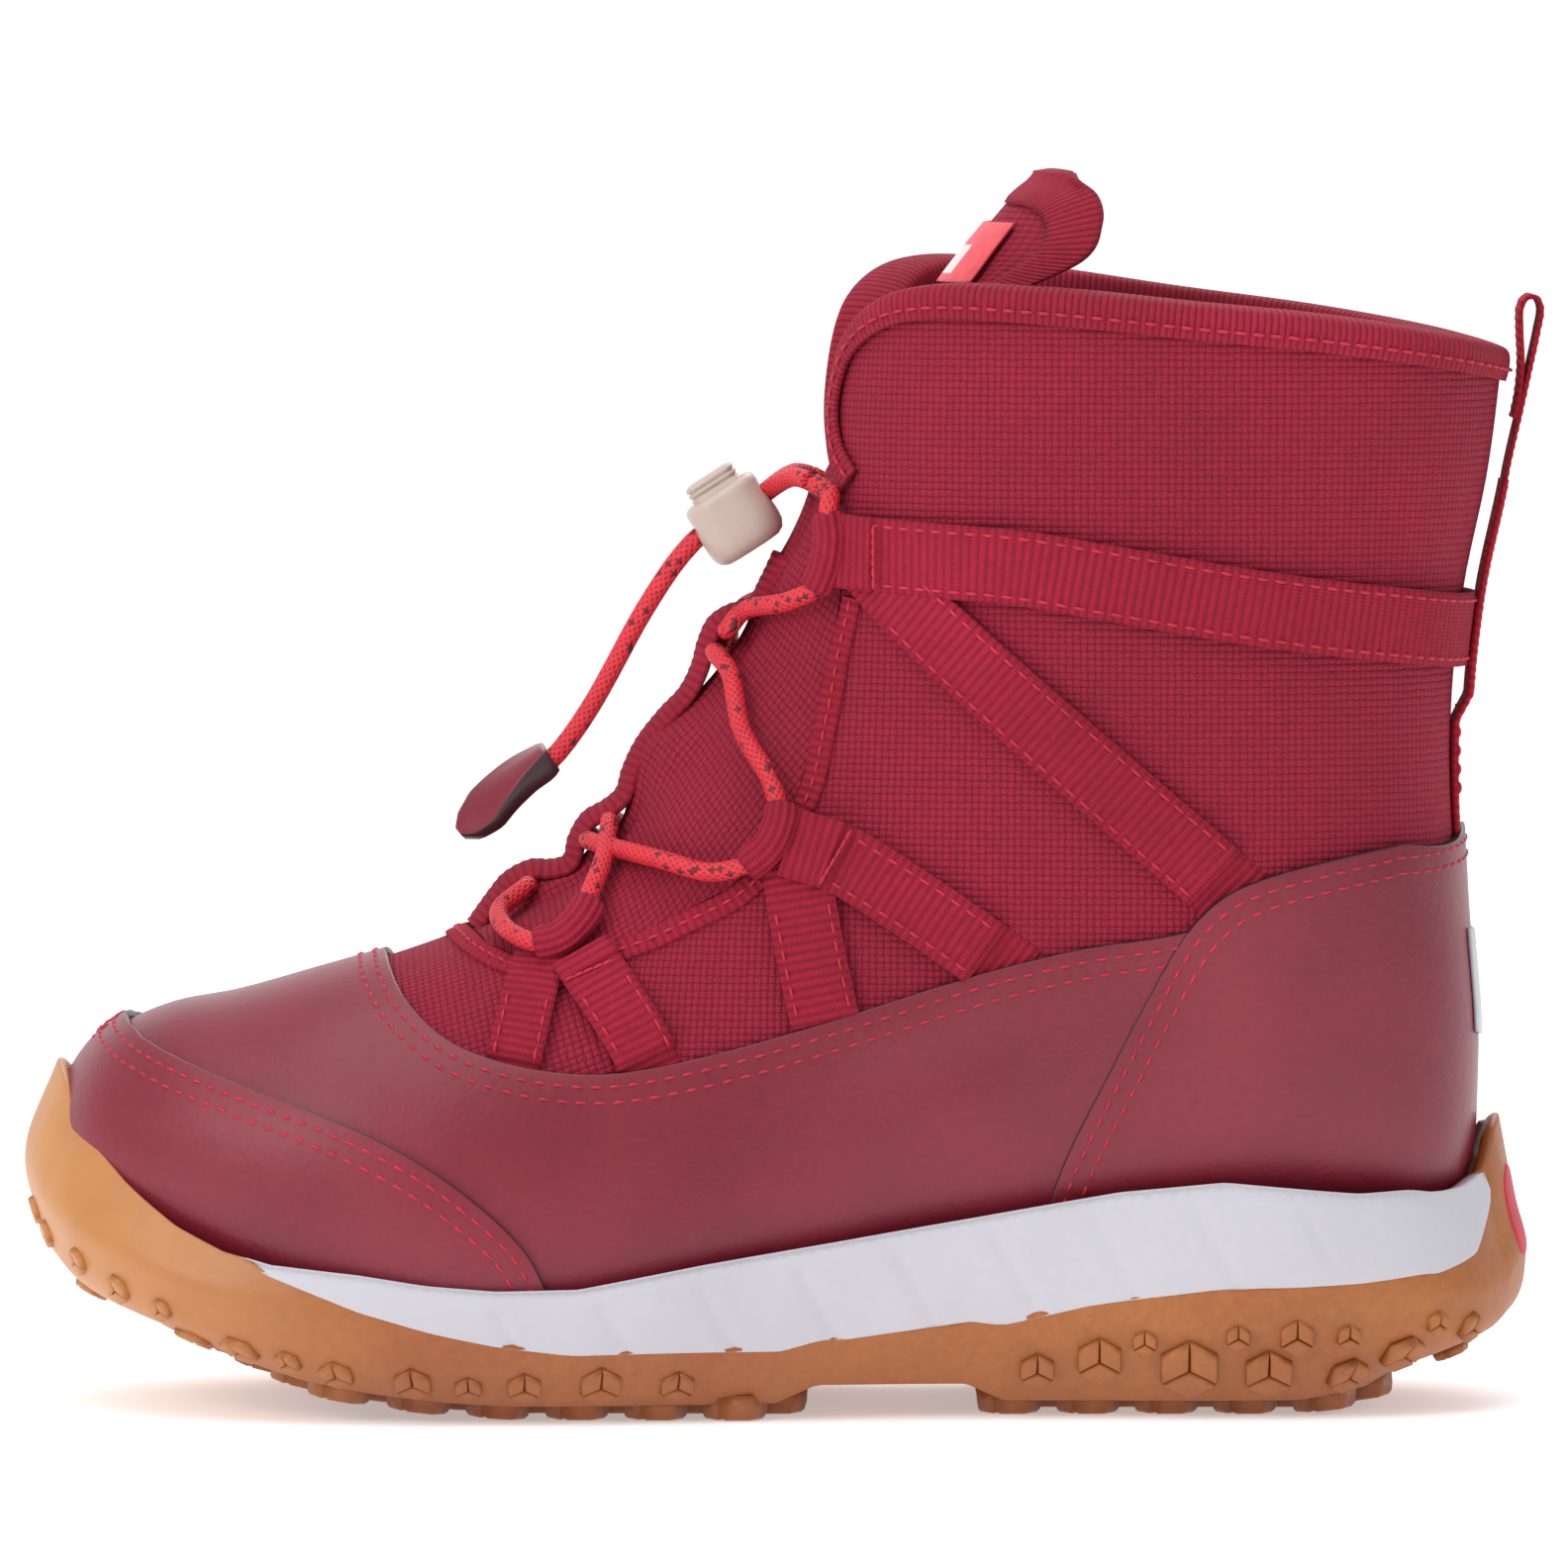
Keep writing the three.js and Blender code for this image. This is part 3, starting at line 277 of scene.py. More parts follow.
def piece(name, points, faces, material, body, uv=None, marks=None, smooth=True, tidy=True):
    """A finished mesh from points in millimetres. uv is per corner, marks is a value per point."""
    mesh = bpy.data.meshes.new(name)
    mesh.from_pydata(((np.asarray(points) - MIDDLE) / 1000).tolist(), [],
                     [tuple(int(i) for i in f) for f in faces])
    if uv is not None:
        layer = mesh.uv_layers.new(name="UVMap")
        layer.data.foreach_set("uv", np.asarray(uv, float).ravel())
    if marks is not None:
        mesh.attributes.new("mark", "FLOAT", "POINT").data.foreach_set("value", np.asarray(marks, float))
    if tidy:
        work = bmesh.new()
        work.from_mesh(mesh)
        bmesh.ops.recalc_face_normals(work, faces=work.faces)
        work.to_mesh(mesh)
        work.free()
    mesh.materials.append(material)
    if smooth:
        mesh.polygons.foreach_set("use_smooth", [True] * len(mesh.polygons))
    obj = bpy.data.objects.new(name, mesh)
    scene.collection.objects.link(obj)
    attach(obj, body)
    return obj


def ring_mesh(rings, cap=True):
    """Closed rings of equal count joined in turn: points, faces and texture coordinates in mm."""
    rings = np.asarray(rings)
    rows, count = rings.shape[:2]
    along = np.concatenate([[0], np.cumsum(np.linalg.norm(np.diff(rings.mean(axis=1), axis=0), axis=1))])
    loop = np.concatenate([rings[rows // 2], rings[rows // 2][:1]])
    around = np.concatenate([[0], np.cumsum(np.linalg.norm(np.diff(loop, axis=0), axis=1))])
    faces, uv = [], []
    for i in range(rows - 1):
        for k in range(count):
            m = (k + 1) % count
            faces.append((i * count + k, i * count + m, (i + 1) * count + m, (i + 1) * count + k))
            uv += [(along[i], around[k]), (along[i], around[k + 1]),
                   (along[i + 1], around[k + 1]), (along[i + 1], around[k])]
    if cap:
        for base in (0, (rows - 1) * count):
            faces.append(tuple(range(base, base + count)))
            uv += [(along[0 if base == 0 else -1], around[k]) for k in range(count)]
    return rings.reshape(-1, 3), faces, uv


def travelling_frames(points, start=(0, 0, 1)):
    """Direction and two cross directions at each point of a line, turning as little as possible."""
    points = np.asarray(points, float)
    ahead = unit(np.gradient(points, axis=0))
    side = np.cross(ahead[0], start)
    if np.linalg.norm(side) < 1e-6:
        side = np.cross(ahead[0], (0, 1, 0))
    sides = [unit(side)]
    for a in ahead[1:]:
        s = sides[-1] - a * (sides[-1] @ a)
        sides.append(unit(s))
    sides = np.array(sides)
    return ahead, sides, np.cross(ahead, sides)


def tube(name, points, radius, material, body, sides=14, step=0.7):
    line = even(points, step)
    _, s, u = travelling_frames(line)
    turn = 2 * np.pi * np.arange(sides) / sides
    rings = line[:, None] + radius * (np.cos(turn)[None, :, None] * s[:, None] + np.sin(turn)[None, :, None]
                                      * u[:, None])
    p, f, uv = ring_mesh(rings)
    return piece(name, p, f, material, body, uv)


# Shader tools: a material is built from node groups for the effects that several pieces share.
def link_in(tree, target, value):
    if isinstance(value, bpy.types.NodeSocket):
        tree.links.new(value, target)
    elif value is not None:
        target.default_value = value


def calc(tree, operation, a, b=None, c=None):
    node = tree.nodes.new("ShaderNodeMath")
    node.operation = operation
    for socket, value in zip(node.inputs, (a, b, c)):
        link_in(tree, socket, value)
    return node.outputs[0]


def blend_colour(tree, amount, a, b, mode="MIX"):
    node = tree.nodes.new("ShaderNodeMix")
    node.data_type = "RGBA"
    node.blend_type = mode
    link_in(tree, node.inputs[0], amount)
    link_in(tree, node.inputs[6], a)
    link_in(tree, node.inputs[7], b)
    return node.outputs[2]


def clouds(tree, vector, scale, detail=3.0, kind="ShaderNodeTexNoise"):
    node = tree.nodes.new(kind)
    link_in(tree, node.inputs["Vector"], vector)
    node.inputs["Scale"].default_value = scale
    if "Detail" in node.inputs:
        node.inputs["Detail"].default_value = detail
    return node.outputs[0]


def fit(tree, value, low, high, to_low=0.0, to_high=1.0):
    node = tree.nodes.new("ShaderNodeMapRange")
    link_in(tree, node.inputs[0], value)
    for socket, number in zip(node.inputs[1:5], (low, high, to_low, to_high)):
        socket.default_value = number
    return node.outputs[0]


def group(name, inputs, outputs, fill):
    tree = bpy.data.node_groups.new(name, "ShaderNodeTree")
    for label, kind, value in inputs:
        socket = tree.interface.new_socket(name=label, in_out="INPUT", socket_type=kind)
        if value is not None:
            socket.default_value = value
    for label, kind in outputs:
        tree.interface.new_socket(name=label, in_out="OUTPUT", socket_type=kind)
    source = tree.nodes.new("NodeGroupInput")
    sink = tree.nodes.new("NodeGroupOutput")
    for label, value in fill(tree, source.outputs).items():
        tree.links.new(value, sink.inputs[label])
    return tree


def fill_tone(tree, inputs):
    """Uneven colour over centimetres and a fine speckle."""
    broad = clouds(tree, inputs["Place"], 28, 3)
    fine = clouds(tree, inputs["Place"], 700, 4)
    shade = blend_colour(tree, fit(tree, broad, 0.3, 0.7), inputs["Dark"], inputs["Light"])
    speckle = calc(tree, "MULTIPLY_ADD", fit(tree, fine, 0.25, 0.75, -0.14, 0.12), inputs["Speckle"], 1.0)
    mixed = tree.nodes.new("ShaderNodeVectorMath")
    mixed.operation = "SCALE"
    tree.links.new(shade, mixed.inputs[0])
    tree.links.new(speckle, mixed.inputs["Scale"])
    rough = calc(tree, "MULTIPLY_ADD", fit(tree, broad, 0.3, 0.7, -1, 1), inputs["Spread"], inputs["Rough"])
    return {"Colour": mixed.outputs[0], "Roughness": rough}


TONE = group("tone", [("Place", "NodeSocketVector", None), ("Dark", "NodeSocketColor", (0.1, 0.1, 0.1, 1)),
                      ("Light", "NodeSocketColor", (0.2, 0.2, 0.2, 1)), ("Rough", "NodeSocketFloat", 0.6),
                      ("Spread", "NodeSocketFloat", 0.06), ("Speckle", "NodeSocketFloat", 1.0)],
             [("Colour", "NodeSocketColor"), ("Roughness", "NodeSocketFloat")], fill_tone)


def fill_weave(tree, inputs):
    """Plain weave of round yarns over and under each other: yarn height and the holes between."""
    split = tree.nodes.new("ShaderNodeSeparateXYZ")
    tree.links.new(inputs["Place"], split.inputs[0])
    x = calc(tree, "DIVIDE", split.outputs[0], inputs["Pitch"])
    y = calc(tree, "DIVIDE", split.outputs[1], inputs["Pitch"])
    wob = fit(tree, clouds(tree, inputs["Place"], 0.35, 2), 0, 1, -0.16, 0.16)
    x, y = calc(tree, "ADD", x, wob), calc(tree, "SUBTRACT", y, wob)
    over = calc(tree, "MODULO", calc(tree, "ADD", calc(tree, "FLOOR", x), calc(tree, "FLOOR", y)), 2.0)
    over = calc(tree, "ABSOLUTE", over)
    sx = calc(tree, "ABSOLUTE", calc(tree, "SINE", calc(tree, "MULTIPLY", x, math.pi)))
    sy = calc(tree, "ABSOLUTE", calc(tree, "SINE", calc(tree, "MULTIPLY", y, math.pi)))
    warp = calc(tree, "MULTIPLY", calc(tree, "POWER", sx, 0.55), calc(tree, "MULTIPLY_ADD", sy, 0.55, 0.45))
    weft = calc(tree, "MULTIPLY", calc(tree, "POWER", sy, 0.55), calc(tree, "MULTIPLY_ADD", sx, 0.55, 0.45))
    pick = tree.nodes.new("ShaderNodeMix")
    tree.links.new(over, pick.inputs[0])
    tree.links.new(warp, pick.inputs[2])
    tree.links.new(weft, pick.inputs[3])
    height = pick.outputs[0]
    return {"Height": height, "Holes": fit(tree, height, 0.62, 0.2)}


WEAVE = group("weave", [("Place", "NodeSocketVector", None), ("Pitch", "NodeSocketFloat", 1.1)],
              [("Height", "NodeSocketFloat"), ("Holes", "NodeSocketFloat")], fill_weave)


def fill_grain(tree, inputs):
    """Fine pebble grain of a coated or moulded skin."""
    cells = tree.nodes.new("ShaderNodeTexVoronoi")
    tree.links.new(inputs["Place"], cells.inputs["Vector"])
    tree.links.new(inputs["Scale"], cells.inputs["Scale"])
    soft = clouds(tree, inputs["Place"], 260, 5)
    height = calc(tree, "ADD", calc(tree, "MULTIPLY", cells.outputs["Distance"], 0.8), soft)
    return {"Height": height}


GRAIN = group("grain", [("Place", "NodeSocketVector", None), ("Scale", "NodeSocketFloat", 900.0)],
              [("Height", "NodeSocketFloat")], fill_grain)


def use(tree, source, **values):
    node = tree.nodes.new("ShaderNodeGroup")
    node.node_tree = source
    for label, value in values.items():
        link_in(tree, node.inputs[label.replace("_", " ")], value)
    return node.outputs


def rgb(text, alpha=1.0):
    """A display colour, such as 8E2F3F, as linear numbers."""
    parts = [int(text[i:i + 2], 16) / 255 for i in (0, 2, 4)]
    return tuple(c / 12.92 if c <= 0.04045 else ((c + 0.055) / 1.055) ** 2.4 for c in parts) + (alpha,)


def material(name, dark, light, rough, spread=0.05, speckle=1.0):
    """A material with the shared tone; returns it with its tree, shader and places to carry on from."""
    made = bpy.data.materials.new(name)
    made.use_nodes = True
    tree = made.node_tree
    shader = tree.nodes["Principled BSDF"]
    place = tree.nodes.new("ShaderNodeTexCoord")
    tone = use(tree, TONE, Place=place.outputs["Object"], Dark=rgb(dark), Light=rgb(light), Rough=rough,
               Spread=spread,
               Speckle=speckle)
    tree.links.new(tone["Colour"], shader.inputs["Base Color"])
    tree.links.new(tone["Roughness"], shader.inputs["Roughness"])
    return made, tree, shader, place.outputs["Object"], place.outputs["UV"], tone["Colour"]


def bump(tree, shader, height, strength, depth_mm):
    node = tree.nodes.new("ShaderNodeBump")
    node.inputs["Strength"].default_value = strength
    node.inputs["Distance"].default_value = depth_mm / 1000
    tree.links.new(height, node.inputs["Height"])
    tree.links.new(node.outputs[0], shader.inputs["Normal"])


def cord_material():
    made, tree, shader, _, uv, colour = material("braided_cord", "D02030", "EA3440", 0.55)
    split = tree.nodes.new("ShaderNodeSeparateXYZ")
    tree.links.new(uv, split.inputs[0])
    left = calc(tree, "MULTIPLY_ADD", split.outputs[1], 0.9094, calc(tree, "MULTIPLY", split.outputs[0], 0.8))
    right = calc(tree, "MULTIPLY_ADD", split.outputs[1], -0.9094,
                 calc(tree, "MULTIPLY", split.outputs[0], 0.8))
    ridge = [calc(tree, "ABSOLUTE", calc(tree, "SINE", calc(tree, "MULTIPLY", v, math.pi)))
             for v in (left, right)]
    height = calc(tree, "MAXIMUM", *ridge)
    cell = tree.nodes.new("ShaderNodeCombineXYZ")
    tree.links.new(calc(tree, "FLOOR", left), cell.inputs[0])
    tree.links.new(calc(tree, "FLOOR", right), cell.inputs[1])
    pick = tree.nodes.new("ShaderNodeTexWhiteNoise")
    tree.links.new(cell.outputs[0], pick.inputs["Vector"])
    fleck = calc(tree, "GREATER_THAN", pick.outputs["Value"], 0.93)
    tinted = blend_colour(tree, fleck, colour, rgb("6E1420"))
    # Painted shade: the grooves between the braided ridges are darkened.
    groove_shade = fit(tree, height, 0.75, 0.3, 0, 0.6)
    tree.links.new(blend_colour(tree, groove_shade, tinted, rgb("8E1F2A")), shader.inputs["Base Color"])
    bump(tree, shader, height, 0.8, 0.35)
    return made


CORD = cord_material()


def strand_path(side):
    rest = [(5.1, side * 14.3, 135.1), (3, side * 9.8, 135.6), (0.4, side * 4.2, 134.3),
            (-1.4, side * 2, 132.9),
            (-6.2, side * 1.8, 129.8), (-11, side * 1.8, 126.6), (-14.4, side * 1.8, 122.8),
            (-17.4, side * 1.8, 118.4), (-20.4, side * 1.8, 113.4), (-23.4, side * 1.8, 107.8),
            (-26.4, side * 1.8, 102.4), (-29.4, side * 1.8, 97.8), (-31.8, side * 1.8, 94.7),
            (-33.4, side * 1.8, 93.1)]
    return soft_path(rest)


strands = {}
for side, name in ((-1, "lateral"), (1, "medial")):
    route = even(strand_path(side), 2.5)
    strands[name] = tube(f"free_strand_{name}", route, CORD_RADIUS, CORD, "lace_tail")
    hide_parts(f"lace_end_{name}")
    strands[name + "_route"] = (route - MIDDLE) / 1000

# ---- Cord lock --------------------------------------------------------------------------------
# A pale moulded barrel with two ears, and a ribbed push button over a small coil spring; both
# strands run through the cross hole and are gripped when the button is let go.
LOCK_AT = np.array([-6.2, 0.0, 129.8])
LOCK_ALONG = unit(np.array([-0.84, 0.0, -0.54]))
LOCK_UP = unit(np.array([-0.54, 0.0, 0.84]))
LOCK_SIDE = np.array([0.0, -1.0, 0.0])


def plastic_material():
    made, tree, shader, place, _, _ = material("moulded_ivory", "BCA79C", "C8B4A9", 0.34, 0.04, 0.2)
    bump(tree, shader, clouds(tree, place, 1400, 4), 0.25, 0.05)
    shader.inputs["Subsurface Weight"].default_value = 0.12
    shader.inputs["Subsurface Radius"].default_value = (0.002, 0.0015, 0.001)
    return made


IVORY = plastic_material()


def lock_points(local):
    local = np.asarray(local, float)
    return LOCK_AT + local[:, :1] * LOCK_ALONG + local[:, 1:2] * LOCK_SIDE + local[:, 2:] * LOCK_UP


def rounded_outline(length, width, corner, per=6):
    corners = [(1, 1, 0), (-1, 1, 90), (-1, -1, 180), (1, -1, 270)]
    out = []
    for sx, sy, start in corners:
        for k in range(per + 1):
            a = math.radians(start + 90 * k / per)
            out.append((sx * (length / 2 - corner) + corner * math.cos(a),
                        sy * (width / 2 - corner) + corner * math.sin(a)))
    return np.array(out)


def lock_stack(outline, levels):
    """Rings of one outline at rising heights; each level is (height, inset)."""
    rings = []
    for height, inset in levels:
        size = np.abs(outline).max(axis=0)
        scale = (size - inset) / size
        rings.append(lock_points(np.column_stack([outline * scale, np.full(len(outline), height)])))
    return rings


body_outline = rounded_outline(12, 15, 4.2)
well_outline = rounded_outline(8.7, 9.5, 1.6)
body_rings = lock_stack(body_outline,
                        [(-6, 2.6), (-5.9, 1.6), (-5.4, 0.7), (-4.4, 0.15), (-3, 0), (-0.6, 0.05),
                                       (1.0, 0.35), (2.6, 0.2), (3.4, 0.3), (3.8, 0.6), (4.0, 1.0)])
body_rings += lock_stack(well_outline, [(4.0, 0), (3.8, 0.12), (3, 0.15), (-4.9, 0.15)])
p, f, uv = ring_mesh(body_rings)
lock_body = piece("cord_lock_barrel", p, f, IVORY, "lace_tail", uv)
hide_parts("cord_lock_body")
button_outline = rounded_outline(7.9, 8.7, 1.5)
button_levels = [(-2.3, 0.2), (-2.0, 0), (4.6, 0), (4.75, 0.25), (5.0, 0.25), (5.15, 0), (5.45, 0),
                 (5.6, 0.25),
                 (5.85, 0.25), (6.0, 0), (6.35, 0.05), (6.65, 0.35), (6.8, 0.9)]
p, f, uv = ring_mesh(lock_stack(button_outline, button_levels))
lock_button = piece("cord_lock_push_button", p, f, IVORY, "lock_button", uv)
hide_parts("cord_lock_button")


def steel_material():
    made, tree, shader, place, _, _ = material("spring_wire", "8C9096", "B9BDC2", 0.28, 0.05)
    shader.inputs["Metallic"].default_value = 1.0
    bump(tree, shader, clouds(tree, place, 2600, 2), 0.2, 0.03)
    return made


turns = np.linspace(0, 2 * np.pi * 1.4, 60)
coil = lock_points(np.column_stack([2.4 * np.cos(turns), 2.4 * np.sin(turns),
                                    -4.8 + 0.8 * turns / turns[-1]]))
lock_spring = tube("lock_spring_coil", coil, 0.26, steel_material(), "lace_tail", 8, 0.3)
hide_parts("cord_lock_spring")

# ---- End tab ----------------------------------------------------------------------------------
# A strip of the coated material folded over the two cord ends, stitched across and cut to a point,
# with its dark core showing along the cut edges.


def coated_material():
    made, tree, shader, place, _, colour = material("coated_panel", "761A2B", "882437", 0.42, 0.06, 0.6)
    edge = tree.nodes.new("ShaderNodeAttribute")
    edge.attribute_name = "mark"
    cut = fit(tree, edge.outputs["Fac"], 0.35, 0.75)
    tree.links.new(blend_colour(tree, cut, colour, rgb("3A2428")), shader.inputs["Base Color"])
    shader.inputs["Specular IOR Level"].default_value = 0.38
    grain = use(tree, GRAIN, Place=place, Scale=1150.0)
    bump(tree, shader, grain["Height"], 0.42, 0.12)
    shader.inputs["Coat Weight"].default_value = 0.2
    shader.inputs["Coat Roughness"].default_value = 0.38
    return made


COATED = coated_material()
TAB_LINE = soft_path([(-32.7, 0, 94.3), (-34.4, 0, 93.1), (-36.8, 0, 91.6), (-40, 0, 88.9), (-43, 0, 85.7),
                      (-46, 0, 83.0)], 6)
TAB_LINE = even(TAB_LINE, 0.8)
tab_ahead = unit(np.gradient(TAB_LINE, axis=0))
tab_up = unit(np.cross(tab_ahead, (0, 1, 0)))
tab_up = np.where(tab_up[:, 2:] < 0, -tab_up, tab_up)
rings = []
for i, (c, u) in enumerate(zip(TAB_LINE, tab_up)):
    t = i / (len(TAB_LINE) - 1)
    half = np.interp(t, [0, 0.1, 0.35, 0.7, 0.9, 1], [3.6, 3.9, 4.3, 4.1, 2.6, 0.9])
    thick = np.interp(t, [0, 0.06, 0.35, 0.9, 1], [1.9, 2.15, 1.7, 1.1, 0.8])
    outline = [(-half, -thick * 0.8), (-half, thick * 0.8), (-half + 0.5, thick), (0, thick * 1.08),
               (half - 0.5, thick),
               (half, thick * 0.8), (half, -thick * 0.8), (half - 0.5, -thick), (0, -thick * 1.08),
               (-half + 0.5, -thick)]
    turn = math.radians(8 + 48 * t)
    flat_way = np.array([0, math.cos(turn), 0]) + u * math.sin(turn)
    thick_way = u * math.cos(turn) - np.array([0, math.sin(turn), 0])
    rings.append([c + flat_way * w + thick_way * h for w, h in outline])
p, f, uv = ring_mesh(rings)
cut_mark = np.tile([1, 0.9, 0, 0, 0, 0.9, 1, 0, 0, 0], len(TAB_LINE))
end_tab = piece("folded_end_tab", p, f, COATED, "lace_tail", uv, cut_mark)
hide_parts("lace_end_tab")
for name in ("lateral", "medial"):
    route = strands.pop(name + "_route")

# ---- Held lace --------------------------------------------------------------------------------
# The rest of the same cord: down from the ankle loops and criss-cross through the tongue loops and
# the side loops to the lowest one.
ANKLE_RUN = [(10.6, 131.4, 3.5), (10.2, 125.5, 3.3), (8.6, 120, 3.3), (4, 117.2, 2.8), (-3, 115, 2.0)]
MID_RUN = [(-5, 106, 2.2), (-3.4, 98, 2.8), (0.6, 90.6, 3), (1.4, 85, 3.3), (-2, 80, 3.3), (-8, 78, 2.8),
           (-15, 79.4, 2.2)]
LOW_RUN = [(-23.5, 78.5, 2.4), (-25.6, 73.5, 3), (-27.5, 69.6, 3.3), (-32.5, 66.4, 3.3), (-37, 67.4, 2.9),
           (-39.2, 70.6, 2.2)]
LOOP_SPOTS = {3: [(-6.7, 113.3), (-8.6, 109.7)], 2: [(-24.1, 84.9), (-26.9, 82.3)], 1: [(-36.2, 75.6)]}


def crossing(spot, side):
    return [(spot[0], side * y, spot[1]) for y in (6.5, 0, -6.5)]


def loose_end(side):
    return [(5.7, side * 15, 134.9), (8.2, side * 17.7, 133.3)]


def down_side(run, side, back=False):
    points = side_points(run, side)
    return points[::-1] if back else points


lace_points = np.vstack([
    loose_end(-1), down_side(ANKLE_RUN, -1), crossing(LOOP_SPOTS[3][0], -1), down_side(MID_RUN, 1),
    crossing(LOOP_SPOTS[2][0], 1),
    down_side(LOW_RUN, -1), crossing(LOOP_SPOTS[1][0], -1), down_side(LOW_RUN, 1, True),
    crossing(LOOP_SPOTS[2][1], 1),
    down_side(MID_RUN, -1, True), crossing(LOOP_SPOTS[3][1], -1), down_side(ANKLE_RUN, 1, True),
    loose_end(1)[::-1]])
lace_line = soft_path(lace_points)
lace = tube("laced_cord", lace_line, CORD_RADIUS, CORD, "boot")
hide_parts("lace")

# ---- Rubber sole ------------------------------------------------------------------------------
# The outsole is one moulding of natural gum rubber: the tread, a wall round the foot that climbs
# over the toe, and a cup behind the heel. It is cemented to the upper and to the foam above it.
PLAN = [(-110.0, 7), (-107.6, -8), (-101, -22.5), (-89.5, -33), (-75, -39.3), (-58, -42.6), (-40, -43),
        (-20, -41.2), (0, -37.6), (20, -34.8), (42, -34), (64, -34.6), (82, -33.4), (96, -27.5), (105, -17),
        (110.2, 0), (105, 17), (96, 27.5), (82, 33), (64, 33.4), (42, 31.6), (20, 30.4), (0, 32.2),
        (-20, 36.8),
        (-40, 40.6), (-58, 41.5), (-75, 40.2), (-89.5, 37.2), (-101, 31), (-107.6, 21.5)]
UNDERSIDE = [(-112, 22), (-96, 14.6), (-88, 11.6), (-78, 8.6), (-68, 6), (-58, 4.2), (-48, 3), (-38, 2.4),
             (0, 2.3),
             (6, 4.9), (28, 4.9), (33, 2.3), (76, 2.3), (86, 3.4), (95, 5.8), (104, 9.6), (112, 14)]
SOLE_TOP = [(-111, 51), (-108.5, 47), (-106, 42), (-102, 38), (-97, 33.8), (-88, 27.5), (-80, 23.2),
            (-73, 21),
            (-60, 19.7), (-50, 18.2), (-40, 17.4), (-28, 17.6), (-10, 20.9), (10, 24.1), (30, 27.5), (50, 31),
            (65, 32.4), (85, 30.6), (97, 31), (104, 32.6), (107, 34), (109, 40), (111, 43)]
RISE = [0, 0.21, 0.45, 0.68, 1]
INSETS = {"toe": [20, 5.5, 1.0, 0, 4.6], "side": [6, 2.2, 0.5, 0, 0.8], "heel": [18.5, 3.2, 0, 1.8, 4]}
# The wall as it is seen from the side stands a little higher at the flanks than on the centre line.
SIDE_LIFT = 1.8
MIDSOLE = [(-77.3, 22.6), (-73, 21.8), (-60, 20.5), (-50, 19), (-40, 18.2), (-28, 18.4), (-10, 21.7),
           (10, 24.9),
           (30, 28.3), (50, 31.8), (65, 33.2), (85, 31.4), (97, 31.8), (103.4, 33.4), (104.4, 29.5),
           (102, 21.5),
           (96, 19.2), (80, 18), (60, 17), (45, 15), (30, 12.6), (10, 10.3), (-10, 8.8), (-30, 8.7),
           (-45, 11),
           (-60, 15), (-73, 20)]
MIDSOLE = [(x, z + SIDE_LIFT) for x, z in MIDSOLE]


def smoothly(v):
    v = np.clip(v, 0, 1)
    return v * v * (3 - 2 * v)


def height_on(line, x):
    return np.interp(x, *np.array(line).T)


def inside(outline, points):
    """Which of the points lie inside an outline."""
    x, y = np.asarray(points, float).T
    found = np.zeros(len(x), bool)
    for (ax, ay), (bx, by) in zip(outline, np.roll(outline, -1, axis=0)):
        crosses = (ay > y) != (by > y)
        where = ax + (y - ay) * (bx - ax) / (by - ay if by != ay else 1e-9)
        found ^= crosses & (x < where)
    return found


def distance_to(outline, points):
    """Distance of each point to an outline's nearest edge."""
    points = np.asarray(points, float)
    outline = np.asarray(outline, float)
    best = np.full(len(points), 1e9)
    for a, b in zip(outline, np.roll(outline, -1, axis=0)):
        t = np.clip(((points - a) @ (b - a)) / max((b - a) @ (b - a), 1e-9), 0, 1)
        best = np.minimum(best, np.linalg.norm(points - a - t[:, None] * (b - a), axis=1))
    return best


def wall_rows(rows=60, around=480):
    """The sole's outer wall: heights from the tread edge to the top, all the way round."""
    closed = np.array(PLAN[-2:] + PLAN + PLAN[:3], float)
    line = uniform_spline(closed, 24)[48:48 + 24 * len(PLAN) + 1]
    plan = even(np.vstack([line[:-1], line[:1]]), length_of(line) / around)[:around + 1]
    ahead = unit(np.roll(plan[:-1], -1, axis=0) - np.roll(plan[:-1], 1, axis=0))
    out = np.column_stack([ahead[:, 1], -ahead[:, 0]])
    out = np.vstack([out, out[:1]])
    out *= np.sign((out * plan).sum())
    toe, heel = smoothly((-64 - plan[:, 0]) / 46), smoothly((plan[:, 0] - 76) / 34)
    levels = uniform_spline(np.column_stack([RISE, INSETS["toe"], INSETS["side"], INSETS["heel"]]), 15)
    table = []
    for v in np.linspace(0, 1, rows):
        t, s, h = (np.interp(v, levels[:, 0], levels[:, k]) for k in (1, 2, 3))
        inset = s + toe * (t - s) + heel * (h - s)
        t0, s0, h0 = (INSETS[k][0] for k in ("toe", "side", "heel"))
        foot = height_on(UNDERSIDE, plan[:, 0] - out[:, 0] * (s0 + toe * (t0 - s0) + heel * (h0 - s0)))
        top = height_on(SOLE_TOP, plan[:, 0])
        top = top + SIDE_LIFT * smoothly((plan[:, 0] + 96) / 25) * smoothly((104 - plan[:, 0]) / 12)
        table.append(np.column_stack([plan - out * inset[:, None], foot + v * (top - foot)]))
    return np.array(table)


wall = Surface(wall_rows())
lateral_half = slice(0, 241) if wall.p[30, 120, 1] < 0 else slice(240, 481)


